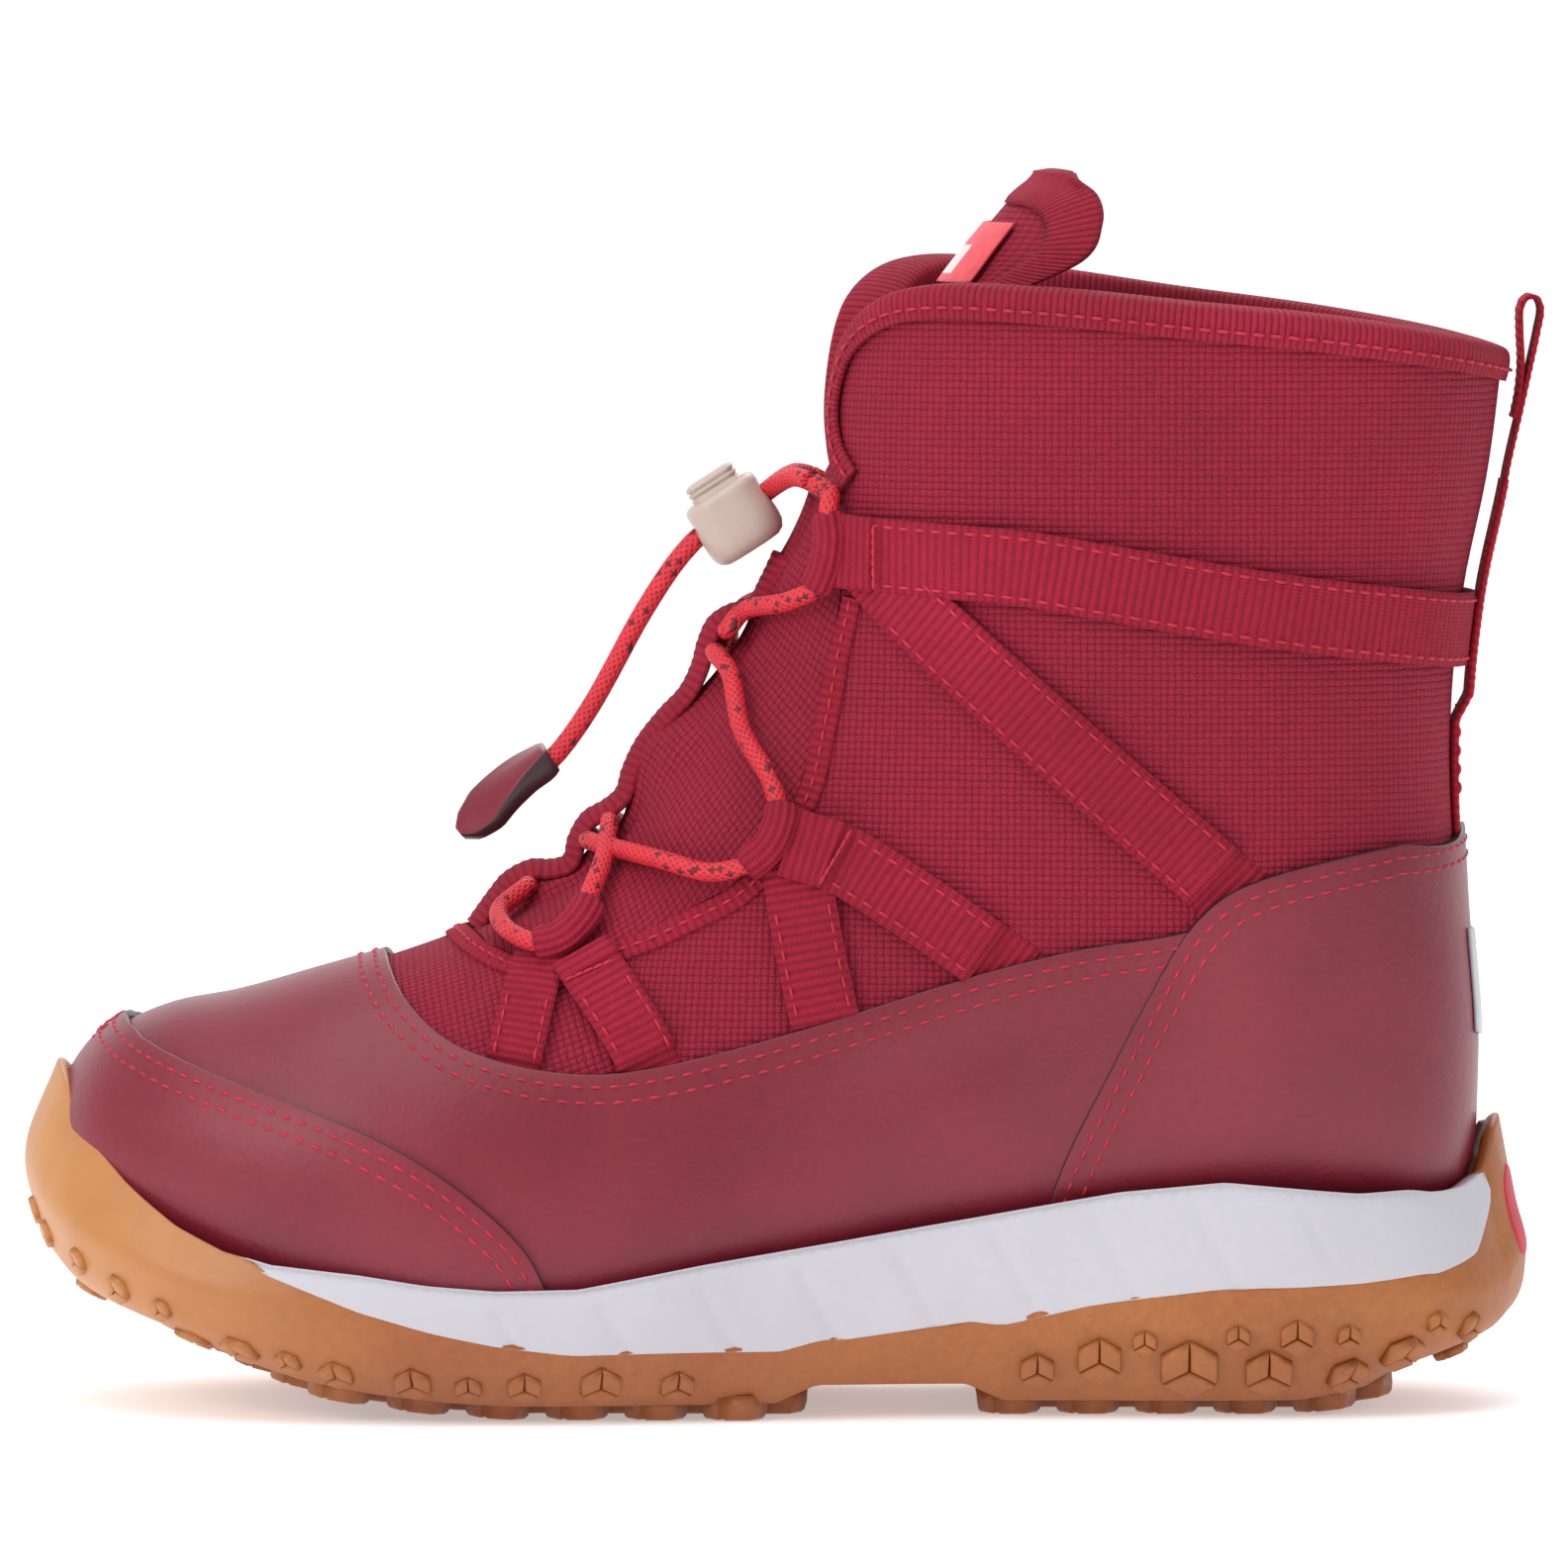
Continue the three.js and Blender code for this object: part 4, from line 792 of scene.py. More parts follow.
def on_wall(points):
    """Coordinates on the sole's wall, outer side, of points given in the side view (x, z)."""
    rows, columns = wall.p.shape[:2]
    part = wall.p[:, lateral_half]
    first = lateral_half.start
    found = []
    for x, z in points:
        v = 0.5
        for _ in range(6):
            row = np.array([np.interp(v * (rows - 1), np.arange(rows), part[:, j, 0])
                            for j in range(0, part.shape[1], 4)])
            order = np.argsort(row)
            j = float(np.interp(x, row[order], (np.arange(0, part.shape[1], 4))[order]))
            j0 = min(int(j), part.shape[1] - 2)
            column = part[:, j0, 2] * (1 - (j - j0)) + part[:, j0 + 1, 2] * (j - j0)
            v = float(np.interp(z, column, np.linspace(0, 1, rows)))
        found.append((v, (first + j) / (columns - 1)))
    return np.array(found)


def rubber_material():
    made, tree, shader, place, _, colour = material("gum_rubber", "9A5224", "B26C34", 0.42, 0.08)
    split = tree.nodes.new("ShaderNodeSeparateXYZ")
    tree.links.new(place, split.inputs[0])
    # Painted highlight: the rubber grows paler towards the toe.
    toe = fit(tree, split.outputs[0], -0.055, -0.105)
    lit_toe_colour = blend_colour(tree, toe, colour, rgb("C98A50"))
    # Painted shade: the lowest 12 mm of the sole are darkened, together with random darker streaks.
    low = calc(tree, "MULTIPLY", fit(tree, split.outputs[2], 0.012, 0.001), 0.35)
    streak = fit(tree, clouds(tree, place, 60, 5), 0.35, 0.7, 0, 0.3)
    low_shade_and_streaks = blend_colour(tree, calc(tree, "ADD", low, streak), lit_toe_colour, rgb("965A34"))
    tree.links.new(low_shade_and_streaks, shader.inputs["Base Color"])
    bump(tree, shader, use(tree, GRAIN, Place=place, Scale=1500.0)["Height"], 0.22, 0.08)
    shader.inputs["Subsurface Weight"].default_value = 0.15
    shader.inputs["Subsurface Radius"].default_value = (0.003, 0.0015, 0.0008)
    return made


RUBBER = rubber_material()
rows, columns = wall.p.shape[:2]
grid = np.array([(v, s) for v in np.linspace(0, 1, rows) for s in np.arange(columns - 1) / (columns - 1)])
wall_points = wall.at(grid)
depth = distance_to(MIDSOLE, wall_points[:, [0, 2]])
sunk = np.where(inside(MIDSOLE, wall_points[:, [0, 2]]), smoothly(depth / 0.8) * 1.6, 0)
facet = smoothly((wall_points[:, 0] - 30) / 4) * smoothly((14 - wall_points[:, 2]) / 5)
wall_points = wall.at(grid, -sunk - 0.5 * facet).reshape(rows, columns - 1, 3)
foot_ring = wall_points[0]
under = []
for keep in (0.03, 0.15, 0.3, 0.45, 0.6, 0.75, 0.88, 0.95, 0.985):
    ring = foot_ring * [keep, keep, 1]
    ring[:, 2] = height_on(UNDERSIDE, ring[:, 0]) - (0.0 if keep < 0.98 else -0.15)
    under.append(ring)
top_ring = wall_points[-1]
inward = wall.facing(grid[-(columns - 1):])
lip = [top_ring - inward * inset + np.array([0, 0, rise])
       for inset, rise in ((0.25, 0.28), (0.8, 0.4), (1.5, 0.1), (2.2, -1.2), (2.4, -4))]
p, f, uv = ring_mesh([*under, *wall_points, *lip], cap=True)
outsole = piece("gum_outsole", p, f, RUBBER, "boot", uv)

# ---- Lugs -------------------------------------------------------------------------------------
# Part of the same rubber moulding: six-sided lugs split by a three-way groove, large ones under
# the foot and small ones climbing the wall at the toe and the heel.


def scatter_tree():
    """Places a shape on points that carry where it faces, which way it points and its size."""
    tree = bpy.data.node_groups.new("scatter", "GeometryNodeTree")
    for label, kind in (("Points", "NodeSocketGeometry"), ("Shape", "NodeSocketObject"),
                        ("Finish", "NodeSocketMaterial")):
        tree.interface.new_socket(name=label, in_out="INPUT", socket_type=kind)
    tree.interface.new_socket(name="Result", in_out="OUTPUT", socket_type="NodeSocketGeometry")
    new = tree.nodes.new
    source, sink = new("NodeGroupInput"), new("NodeGroupOutput")
    values = {}
    for label in ("facing", "ahead", "size"):
        values[label] = new("GeometryNodeInputNamedAttribute")
        values[label].data_type = "FLOAT_VECTOR"
        values[label].inputs["Name"].default_value = label
    stand = new("FunctionNodeAlignRotationToVector")
    stand.axis = "Z"
    turn = new("FunctionNodeAlignRotationToVector")
    turn.axis, turn.pivot_axis = "X", "Z"
    info = new("GeometryNodeObjectInfo")
    place = new("GeometryNodeInstanceOnPoints")
    real, paint = new("GeometryNodeRealizeInstances"), new("GeometryNodeSetMaterial")
    for a, b in ((values["facing"].outputs[0], stand.inputs["Vector"]),
                 (stand.outputs[0], turn.inputs["Rotation"]),
                 (values["ahead"].outputs[0], turn.inputs["Vector"]),
                 (source.outputs["Shape"], info.inputs["Object"]),
                 (source.outputs["Points"], place.inputs["Points"]),
                 (info.outputs["Geometry"], place.inputs["Instance"]),
                 (turn.outputs[0], place.inputs["Rotation"]),
                 (values["size"].outputs[0], place.inputs["Scale"]),
                 (place.outputs[0], real.inputs[0]), (real.outputs[0], paint.inputs["Geometry"]),
                 (source.outputs["Finish"], paint.inputs["Material"]), (paint.outputs[0], sink.inputs[0])):
        tree.links.new(a, b)
    return tree


SCATTER = scatter_tree()


def scatter(name, shape, places, facing, ahead, sizes, material, body, smooth=True):
    """One mesh of the shape repeated at the places (mm), made with the scatter tree."""
    mesh = bpy.data.meshes.new(name + "_points")
    mesh.from_pydata(((np.asarray(places) - MIDDLE) / 1000).tolist(), [], [])
    for label, data in (("facing", facing), ("ahead", ahead), ("size", sizes)):
        mesh.attributes.new(label, "FLOAT_VECTOR", "POINT").data.foreach_set("vector",
                                                                             np.asarray(data, float).ravel())
    carrier = bpy.data.objects.new(name + "_points", mesh)
    pattern_mesh = bpy.data.meshes.new(name + "_shape")
    pattern_mesh.from_pydata((np.asarray(shape[0], float) / 1000).tolist(), [], shape[1])
    pattern = bpy.data.objects.new(name + "_shape", pattern_mesh)
    scene.collection.objects.link(carrier)
    scene.collection.objects.link(pattern)
    modifier = carrier.modifiers.new("scatter", "NODES")
    modifier.node_group = SCATTER
    sockets = {item.name: item.identifier for item in SCATTER.interface.items_tree if item.in_out == "INPUT"}
    modifier[sockets["Shape"]] = pattern
    modifier[sockets["Finish"]] = material
    depsgraph = bpy.context.evaluated_depsgraph_get()
    made = bpy.data.meshes.new_from_object(carrier.evaluated_get(depsgraph))
    for extra in (carrier, pattern):
        bpy.data.objects.remove(extra, do_unlink=True)
    made.name = name
    if not made.materials:
        made.materials.append(material)
    if smooth:
        made.polygons.foreach_set("use_smooth", [True] * len(made.polygons))
    obj = bpy.data.objects.new(name, made)
    scene.collection.objects.link(obj)
    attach(obj, body)
    return obj


def lug_shape():
    """Three diamonds making a hexagon of radius 1, with a groove between them, from -0.6 to 1 high."""
    points, faces = [], []
    for k in range(3):
        turn = math.radians(120 * k)
        corners = []
        for angle, reach in ((0, 0.0), (0, 1.0), (60, 1.0), (120, 1.0)):
            a = turn + math.radians(angle)
            corners.append((reach * math.cos(a), reach * math.sin(a)))
        corners = np.array(corners)
        middle = corners.mean(axis=0)
        base = len(points)
        for shrink, z in ((0.99, -0.6), (0.95, 0.3), (0.86, 0.82), (0.72, 1.0)):
            points += [(*q, z) for q in middle + (corners - middle) * shrink]
        faces += [(base + 3, base + 2, base + 1, base), tuple(base + 12 + i for i in range(4))]
        for level in range(3):
            for i in range(4):
                a, b = base + 4 * level + i, base + 4 * level + (i + 1) % 4
                faces.append((a, b, b + 4, a + 4))
    return points, faces


SIDE_LUGS = [(38, 7, 5), (47, 8.5, 6.5), (53.5, 11.2, 3.5), (60, 7.2, 8.5), (67, 12, 3.5), (71.5, 6.5, 7),
             (75.5, 12, 5),
             (83, 12, 3.5), (83, 6, 6), (91, 9, 6.5), (96, 13.5, 3.5), (101, 12.5, 4.5), (99, 8, 5),
             (-108, 28, 4), (-106, 25, 4), (-101, 22, 4), (-100, 17, 5), (-95, 18.5, 4.5), (-93, 12.6, 5),
             (-88.5, 16, 3.5), (-84, 11.6, 6), (-77, 10.4, 6), (-70, 9, 4), (-63, 7.2, 5), (-52, 6, 5.5),
             (-44, 5.4, 4), (-36, 5.4, 5), (-25, 5.6, 6), (-14, 5.4, 5)]
side_places = on_wall([lug[:2] for lug in SIDE_LUGS])
both = np.vstack([side_places, side_places * [1, -1] + [0, 1]])
reach = np.tile([lug[2] / 2 * 1.12 for lug in SIDE_LUGS], 2)
facing = wall.facing(both)
ahead = unit(np.cross(np.cross(facing, (0, 0, 1)), facing))
places, sizes = [wall.at(both)], [np.column_stack([reach, reach, np.full(len(reach), 0.85)])]
facings, aheads = [facing], [ahead]
LUG_STEP = 11.4  # from one tread lug to the next along the foot
ROW_STEP = 9.9  # from one row to the next across it
ARCH_START, ARCH_END = 4, 31  # no tread between these under the arch
for row in range(-3, 4):
    for column in range(-9, 10):
        x, y = column * LUG_STEP + (LUG_STEP / 2 if row % 2 else 0), row * ROW_STEP
        outline = wall.p[0, :-1, :2]
        if not inside(outline, [(x, y)])[0] or distance_to(outline,
                                                           [(x, y)])[0] < 2.6 or ARCH_START < x < ARCH_END:
            continue
        # The lugs of the row next to the arch stand upright; the others lean with the underside.
        slope = (height_on(UNDERSIDE, x + 1) - height_on(UNDERSIDE, x - 1)) / 2 if x else 0.0
        places.append([(x, y, height_on(UNDERSIDE, x))])
        facings.append([(slope, 0, -1)])
        aheads.append([(1, 0, slope)])
        sizes.append([(4.9, 4.9, 2.25)])
scatter("sole_lugs", lug_shape(), np.vstack(places), unit(np.vstack(facings)), np.vstack(aheads),
        np.vstack(sizes),
               RUBBER, "boot")
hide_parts("outsole")

# ---- Midsole ----------------------------------------------------------------------------------
# A pale foam wedge set into the rubber wall, with a bevelled top edge and faint slanted creases
# from the mould. It shows as a band along both sides and round the heel.


def panel(name, surface, loop, low, high, material, body, edge=0.3, pitch=2.2, relief=None, cloth=None):
    """A sheet of even thickness lying on a surface: loop is its outline on the surface, low and high
    its two faces off the surface in mm, relief(points) an extra height of its outer face."""
    scale = np.array(surface.scale)
    flat = even(np.vstack([loop, loop[:1]]) * scale, 1.2)[:-1]
    if (flat[:, 0] * np.roll(flat[:, 1], -1) - np.roll(flat[:, 0], -1) * flat[:, 1]).sum() < 0:
        flat = flat[::-1]
    count = len(flat)
    lowest, highest = flat.min(axis=0), flat.max(axis=0)
    grid_a, grid_b = np.meshgrid(np.arange(lowest[0], highest[0], pitch),
                                 np.arange(lowest[1], highest[1], pitch))
    grid_a[1::2] += pitch / 2
    inner = np.column_stack([grid_a.ravel(), grid_b.ravel()])
    inner = inner[inside(flat, inner)]
    inner = inner[distance_to(flat, inner) > 0.55 * pitch]
    flat_points = np.vstack([flat, inner])
    edges = [(i, (i + 1) % count) for i in range(count)]
    out_points, _, triangles, origin, _, _ = delaunay_2d_cdt([Vector(q) for q in flat_points], edges, [], 1,
                                                             1e-6)
    flat_points = np.array([tuple(q) for q in out_points])
    index = {}
    for new, old in enumerate(origin):
        for o in old:
            index[o] = new
    rim = [index[i] for i in range(count)]
    ab = flat_points / scale
    lift = relief(surface.at(ab)) if relief else np.zeros(len(ab))
    top, bottom = surface.at(ab, high + lift), surface.at(ab, low)
    edge_points, normal = surface.at(ab[rim], high), surface.facing(ab[rim])
    tangent = unit(np.roll(edge_points, -1, axis=0) - np.roll(edge_points, 1, axis=0))
    away = unit(np.cross(tangent, normal))
    left = np.roll(flat, -1, axis=0) - np.roll(flat, 1, axis=0)
    into = surface.at(ab[rim] + unit(np.column_stack([-left[:, 1], left[:, 0]])) * 0.5 / scale, high)
    away *= -np.sign(((into - edge_points) * away).sum(1))[:, None]
    points, marks = [top, bottom], [np.zeros(len(top)), np.zeros(len(top))]
    start = 2 * len(top)
    steps = [(0.55 * edge, high - 0.12 * edge), (0.9 * edge, high - 0.5 * edge), (edge, high - edge),
             (edge, low)]
    for outward, level in steps:
        points.append(surface.at(ab[rim], level) + away * outward)
        marks.append(np.full(count, 0.5 if outward < 0.8 * edge else 1.0))
    faces = []
    rings = [rim] + [[start + r * count + i for i in range(count)]
                     for r in range(4)] + [[len(top) + i for i in rim]]
    for tri in triangles:
        faces.append(tuple(tri))
        faces.append(tuple(len(top) + i for i in reversed(tri)))
    for ring, following in zip(rings[:-1], rings[1:]):
        for i in range(count):
            k = (i + 1) % count
            faces.append((ring[i], following[i], following[k], ring[k]))
    place = np.vstack([flat_points, flat_points] + [flat_points[rim]] * 4)
    if cloth is not None:
        spots = np.vstack([ab, ab] + [ab[rim]] * 4)
        run = surface._take(cloth, spots[:, 0], spots[:, 1])
        place = run if cloth is front_cloth else np.column_stack([run[:, 0], np.vstack(points)[:, 2]])
    uv = [place[i] for face in faces for i in face]
    return piece(name, np.vstack(points), faces, material, body, uv, np.concatenate(marks))


wall.scale = (24.0, 480.0)
skin.scale = (235.0, 205.0)


def foam_material():
    made, tree, shader, place, _, colour = material("moulded_foam", "C2C0C7", "CBC9D0", 0.55, 0.03, 0.12)
    scuff = fit(tree, clouds(tree, place, 40, 6), 0.6, 0.85, 0, 0.12)
    tree.links.new(blend_colour(tree, scuff, colour, rgb("B9B2B0")), shader.inputs["Base Color"])
    bump(tree, shader, clouds(tree, place, 2200, 3), 0.08, 0.04)
    return made


def midsole_relief(points):
    x, z = points[:, 0], points[:, 2]
    slant = (x + 0.55 * z) / 15.5
    crease = np.exp(-((slant - np.round(slant)) * 15.5 / 0.8) ** 2) * (x > -40) * (x < 80)
    top = height_on([q for q in MIDSOLE[:14]], x)
    bevel = smoothly((z - (top - 2.2)) / 2.0)
    return -0.45 * crease * smoothly((top - 2.6 - z) / 1.5) - 0.75 * bevel


FOAM = foam_material()
for side, name in ((1, "outer"), (-1, "inner")):
    half = on_wall(MIDSOLE)
    if side < 0:
        half = half * [1, -1] + [0, 1]
    band = panel(f"foam_midsole_{name}", wall, half, -2.2, 0.05, FOAM, "boot", 0.35, 0.95,
                 midsole_relief)
    if side > 0:
        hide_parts("midsole")

# ---- Badge ------------------------------------------------------------------------------------
# A small soft red moulding let into the rubber cup at the very back, plain.


def badge_material():
    made, tree, shader, place, _, _ = material("red_rubber", "B81A30", "CC2A3E", 0.5, 0.05)
    bump(tree, shader, use(tree, GRAIN, Place=place, Scale=2200.0)["Height"], 0.2, 0.05)
    return made


heel_column = 240 / 480
badge_side = [(v, heel_column + w / wall.scale[1] * 1.15)
              for v, w in ((0.50, -2.4), (0.46, 0), (0.50, 2.4), (0.62, 2.8), (0.78, 2.6), (0.82, 0),
                           (0.78, -2.6), (0.62, -2.8))]
badge = panel("red_heel_badge", wall, np.array(badge_side), -1, 0.2, badge_material(), "boot", 0.4,
              1.4)
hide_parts("heel_badge")

# ---- Woven upper ------------------------------------------------------------------------------
# The vamp and the two quarters are a coarse polyester weave with a waterproof film behind it, cut
# flat, sewn at the side seams and lasted under the sole board.
THROAT = [(-46.5, 74), (-45.5, 70.2), (-42, 67.6), (-36, 65.6), (-30, 66), (-24, 68), (-15, 71.6), (-6, 76.3),
          (0, 82.5), (3.5, 90), (6, 100), (8, 110), (10, 120), (10.2, 131)]
COLLAR = [(8.6, 138), (8.4, 147), (10.5, 156), (15, 161.2), (22, 163.2), (40, 162.6), (60, 160.6),
          (80, 158.6),
          (95, 156.4), (108, 153)]
BOARD_LINE = [(-130, 26), (-96, 25.4), (-88, 21.8), (-78, 18.9), (-66, 16.4), (-54, 14.6), (-40, 13.9),
              (-28, 14.2),
              (-10, 16), (8, 18.4), (30, 21.3), (56, 23.7), (78, 25), (90, 26.6), (97, 29.5), (130, 30)]


# Distance round the upper from the middle of each side, level with the ground, so that the weave
# runs true round the leg.
run_round = np.linalg.norm(np.diff(skin.p[:, :, :2], axis=1), axis=2)
run_round = np.concatenate([np.zeros((len(skin.p), 1)), np.cumsum(run_round, axis=1)], axis=1)
outward_run = run_round - run_round[:, 90:91] + skin.p[:, 90:91, 0]
inner_run = run_round[:, 270:271] - run_round + skin.p[:, 270:271, 0]
side_cloth = np.where(np.arange(361) <= 180, outward_run, inner_run)[:, :, None]

# The vamp and the tongue are cut about their own centre line instead.
ring_run = np.linalg.norm(np.diff(skin.p, axis=1), axis=2)
ring_run = np.concatenate([np.zeros((len(skin.p), 1)), np.cumsum(ring_run, axis=1)], axis=1)
ring_run = np.where(np.arange(361) <= 180, ring_run, ring_run - ring_run[:, -1:])
top_run = np.concatenate([[0], np.cumsum(np.linalg.norm(np.diff(skin.p[:, 0], axis=0), axis=1))])
front_cloth = np.stack([np.repeat(top_run[:, None], 361, axis=1), ring_run], axis=2)


def over_top(outer, inner=None):
    """A whole outline from its outer half, mirrored over the front and top centre line."""
    outer = np.array(outer)
    inner = outer if inner is None else np.array(inner)
    return np.vstack([outer, inner[::-1] * [1, -1]])


def over_back(outer):
    """A whole outline from its outer half, mirrored over the bottom and back centre line."""
    outer = np.array(outer)
    return np.vstack([outer, outer[::-1] * [1, -1] + [0, 1]])


def on_centre(place, line=0.0):
    """The point's own station, moved on to the top (0) or back (0.5) centre line."""
    return (on_skin([place])[0][0], line)


def woven_material():
    made, tree, shader, _, uv, colour = material("woven_polyester", "8B152C", "9E1E38", 0.8, 0.04)
    weave = use(tree, WEAVE, Place=uv, Pitch=1.05)
    # Painted shade: the holes between the yarns are darkened.
    hole_shade = calc(tree, "MULTIPLY", weave["Holes"], 0.6)
    yarn = fit(tree, clouds(tree, uv, 3.2, 2), 0.35, 0.65, 0, 0.35)
    streaked = blend_colour(tree, yarn, colour, rgb("B83452"))
    tree.links.new(blend_colour(tree, hole_shade, streaked, rgb("4E0E1E")), shader.inputs["Base Color"])
    bump(tree, shader, weave["Height"], 0.8, 0.4)
    shader.inputs["Specular IOR Level"].default_value = 0.25
    return made


WOVEN = woven_material()
seam_z = [(-24, 68), (-19.3, 50), (-14, 30)]
vamp_outer = [on_centre((-46.8, 73)), *on_skin(THROAT[1:6]), *on_skin(seam_z),
              *on_skin([(-40, 28), (-62, 40), (-72, 56)]),
              on_centre((-72, 61))]
vamp = panel("woven_vamp", skin, over_top(vamp_outer), -1, 0, WOVEN, "boot", cloth=front_cloth)
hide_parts("vamp_textile")
INNER_COLLAR = [(8.6, 138), (8.4, 149), (10.5, 159.5), (15, 164.8), (22, 166.6), (40, 164.4), (60, 161.4),
                (80, 158.8),
                (95, 156.4), (108, 153)]
quarter_outer = [*on_skin(THROAT[5:] + COLLAR[:-1]), (on_skin([(107.5, 153)])[0][0], 0.4985),
                 (on_skin([(98, 72)])[0][0], 0.4985),
                 *on_skin([(80, 68), (66, 60), (52, 46), (40, 40), (10, 34)]), *on_skin(seam_z[::-1])]
for sign, name in ((1, "lateral"), (-1, "medial")):
    outline = np.array(quarter_outer) * [1, sign]
    if sign < 0:
        outline[9:18] = on_skin(INNER_COLLAR[:-1]) * [1, -1]
    panel(f"woven_quarter_{name}", skin, outline, -1, 0, WOVEN, "boot", 0.15,
                           cloth=side_cloth)
    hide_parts(f"quarter_{name}")

# ---- Coated overlays --------------------------------------------------------------------------
# Mudguard, toe guard and heel overlay: polyurethane-coated split, die cut, laid over the weave and
# sewn along the edges with double rows; the cut edges show the dark core.
MUDGUARD_EDGE = [(-57, 65.5), (-54, 60), (-50, 56), (-45, 53), (-35, 50.3), (-25, 49.6), (-15, 51), (0, 54.8),
                 (15, 59.5), (30, 64.3), (45, 68), (56, 69.7), (64.5, 71.5)]
TOE_GUARD_EDGE = [(-95.5, 57.5), (-93.5, 53.5), (-85, 49.5), (-75, 46.3), (-65, 43.2), (-55, 39), (-45, 33),
                  (-36, 24.5), (-31.5, 15)]
HEEL_EDGE = [(38.5, 27), (42, 37), (48, 49), (54, 60.5), (59.5, 70), (65, 75.5), (71, 78.2), (80, 80.5),
             (90, 82.5)]
smooth_mud = soft_path([(*q, 0) for q in MUDGUARD_EDGE], 3)[:, :2]
smooth_toe = soft_path([(*q, 0) for q in TOE_GUARD_EDGE], 3)[:, :2]
smooth_heel = soft_path([(*q, 0) for q in HEEL_EDGE], 3)[:, :2]
under_edge = [(x, height_on(BOARD_LINE, x) + 1.2)
              for x in (-104, -96, -88, -78, -66, -54, -44, -30, -10, 10, 30, 50, 80, 94)]
mud_outer = [on_centre((-58, 66)), *on_skin(smooth_mud), *on_skin([(60, 61), (50, 45), (44, 31)]),
             *on_skin([q for q in under_edge[::-1] if -40 < q[0] < 40]),
             *on_skin([(-47, 27), (-57, 34), (-67, 38.5), (-77, 41.5), (-87, 44.5), (-95, 48.5)]),
             on_centre((-100.5, 55))]


def blank_field(points):
    """A shallow pressed field on the side of the mudguard."""
    x, z = points[:, 0], points[:, 2]
    middle = 50.5 + 0.28 * (x - 23)
    return -0.28 * smoothly((13.5 - abs(x - 23)) / 1.2) * smoothly((4.6 - abs(z - middle)) / 1.0)


mudguard = panel("coated_mudguard", skin, over_top(mud_outer), 0.1, 1.3, COATED, "boot", 0.35, 2.0,
                 blank_field)
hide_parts("mudguard")
tip = 0.001
toe_outer = [on_centre((-98.5, 58)), *on_skin(smooth_toe),
             *on_skin([(-46, 14), (-66, 17), (-80, 20), (-92, 26), (-99, 31)]),
             (tip, 0.30)]
toe_guard = panel("coated_toe_guard", skin, over_top(toe_outer), 1.4, 2.7, COATED, "boot", 0.4, 1.9)
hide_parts("toe_guard")
heel_outer = [(on_skin([(101, 83.4)])[0][0], 0.5), *on_skin(smooth_heel[::-1]),
              *on_skin([q for q in under_edge if 30 < q[0]]), (on_skin([(98.5, 27)])[0][0], 0.5)]
heel_overlay = panel("coated_heel_overlay", skin, over_back(heel_outer), 0.4, 1.75, COATED, "boot",
                     0.4, 2.0)
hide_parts("heel_overlay")


def reflective_material():
    made, tree, shader, place, _, _ = material("glass_bead_tape", "A9ABB0", "C4C6CA", 0.34, 0.05)
    shader.inputs["Metallic"].default_value = 0.25
    beads = tree.nodes.new("ShaderNodeTexVoronoi")
    tree.links.new(place, beads.inputs["Vector"])
    beads.inputs["Scale"].default_value = 3200
    bump(tree, shader, beads.outputs["Distance"], 0.4, 0.04)
    return made


back_half = 5.8 / skin.scale[1]
low_a, high_a = (on_skin([(100, z)])[0][0] for z in (55, 69))
patch = [(low_a, 0.5 - back_half), (low_a, 0.5 + back_half), (high_a, 0.5 + back_half),
         (high_a, 0.5 - back_half)]
reflector = panel("heel_reflective_patch", skin, np.array(patch), 1.8, 2.3, reflective_material(), "boot",
                  0.2)
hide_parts("heel_reflector")

# ---- Woven straps -----------------------------------------------------------------------------
# Ribbed polyester webbing, 11 mm wide: one band round the ankle, a diagonal on each side, and the
# split legs of the middle and low lace loops. Each is folded round the lace at its front end.


def webbing_material(name, dark, light):
    made, tree, shader, _, uv, colour = material(name, dark, light, 0.84, 0.04)
    split = tree.nodes.new("ShaderNodeSeparateXYZ")
    tree.links.new(uv, split.inputs[0])
    rib = calc(tree, "COSINE", calc(tree, "MULTIPLY", split.outputs[0], 2 * math.pi / 1.3))
    yarn = calc(tree, "ABSOLUTE",
                calc(tree, "SINE", calc(tree, "MULTIPLY", split.outputs[1], math.pi / 0.55)))
    fuzz = fit(tree, clouds(tree, uv, 5.0, 3), 0.3, 0.7, -0.15, 0.2)
    # Painted shade in the troughs between the ribs, mixed with random fuzz.
    rib_shade_and_fuzz = calc(tree, "ADD", fit(tree, rib, -1, 0.3, 0.5, 0), fuzz)
    edge = tree.nodes.new("ShaderNodeAttribute")
    edge.attribute_name = "mark"
    shaded = blend_colour(tree, rib_shade_and_fuzz, colour, rgb("5E0C1C"))
    # Painted shade along the selvedges, where the mark is 1.
    tree.links.new(blend_colour(tree, calc(tree, "MULTIPLY", edge.outputs["Fac"], 0.35), shaded,
                                rgb("5E1426")),
                   shader.inputs["Base Color"])
    height = calc(tree, "MULTIPLY_ADD", yarn, 0.45, calc(tree, "MULTIPLY", rib, 0.5))
    bump(tree, shader, height, 0.7, 0.3)
    shader.inputs["Specular IOR Level"].default_value = 0.3
    return made


WEBBING = webbing_material("raspberry_webbing", "98142C", "B0203E")
RED_WEBBING = webbing_material("red_webbing", "B00E22", "CA1A30")
RIB_PITCH = 1.3


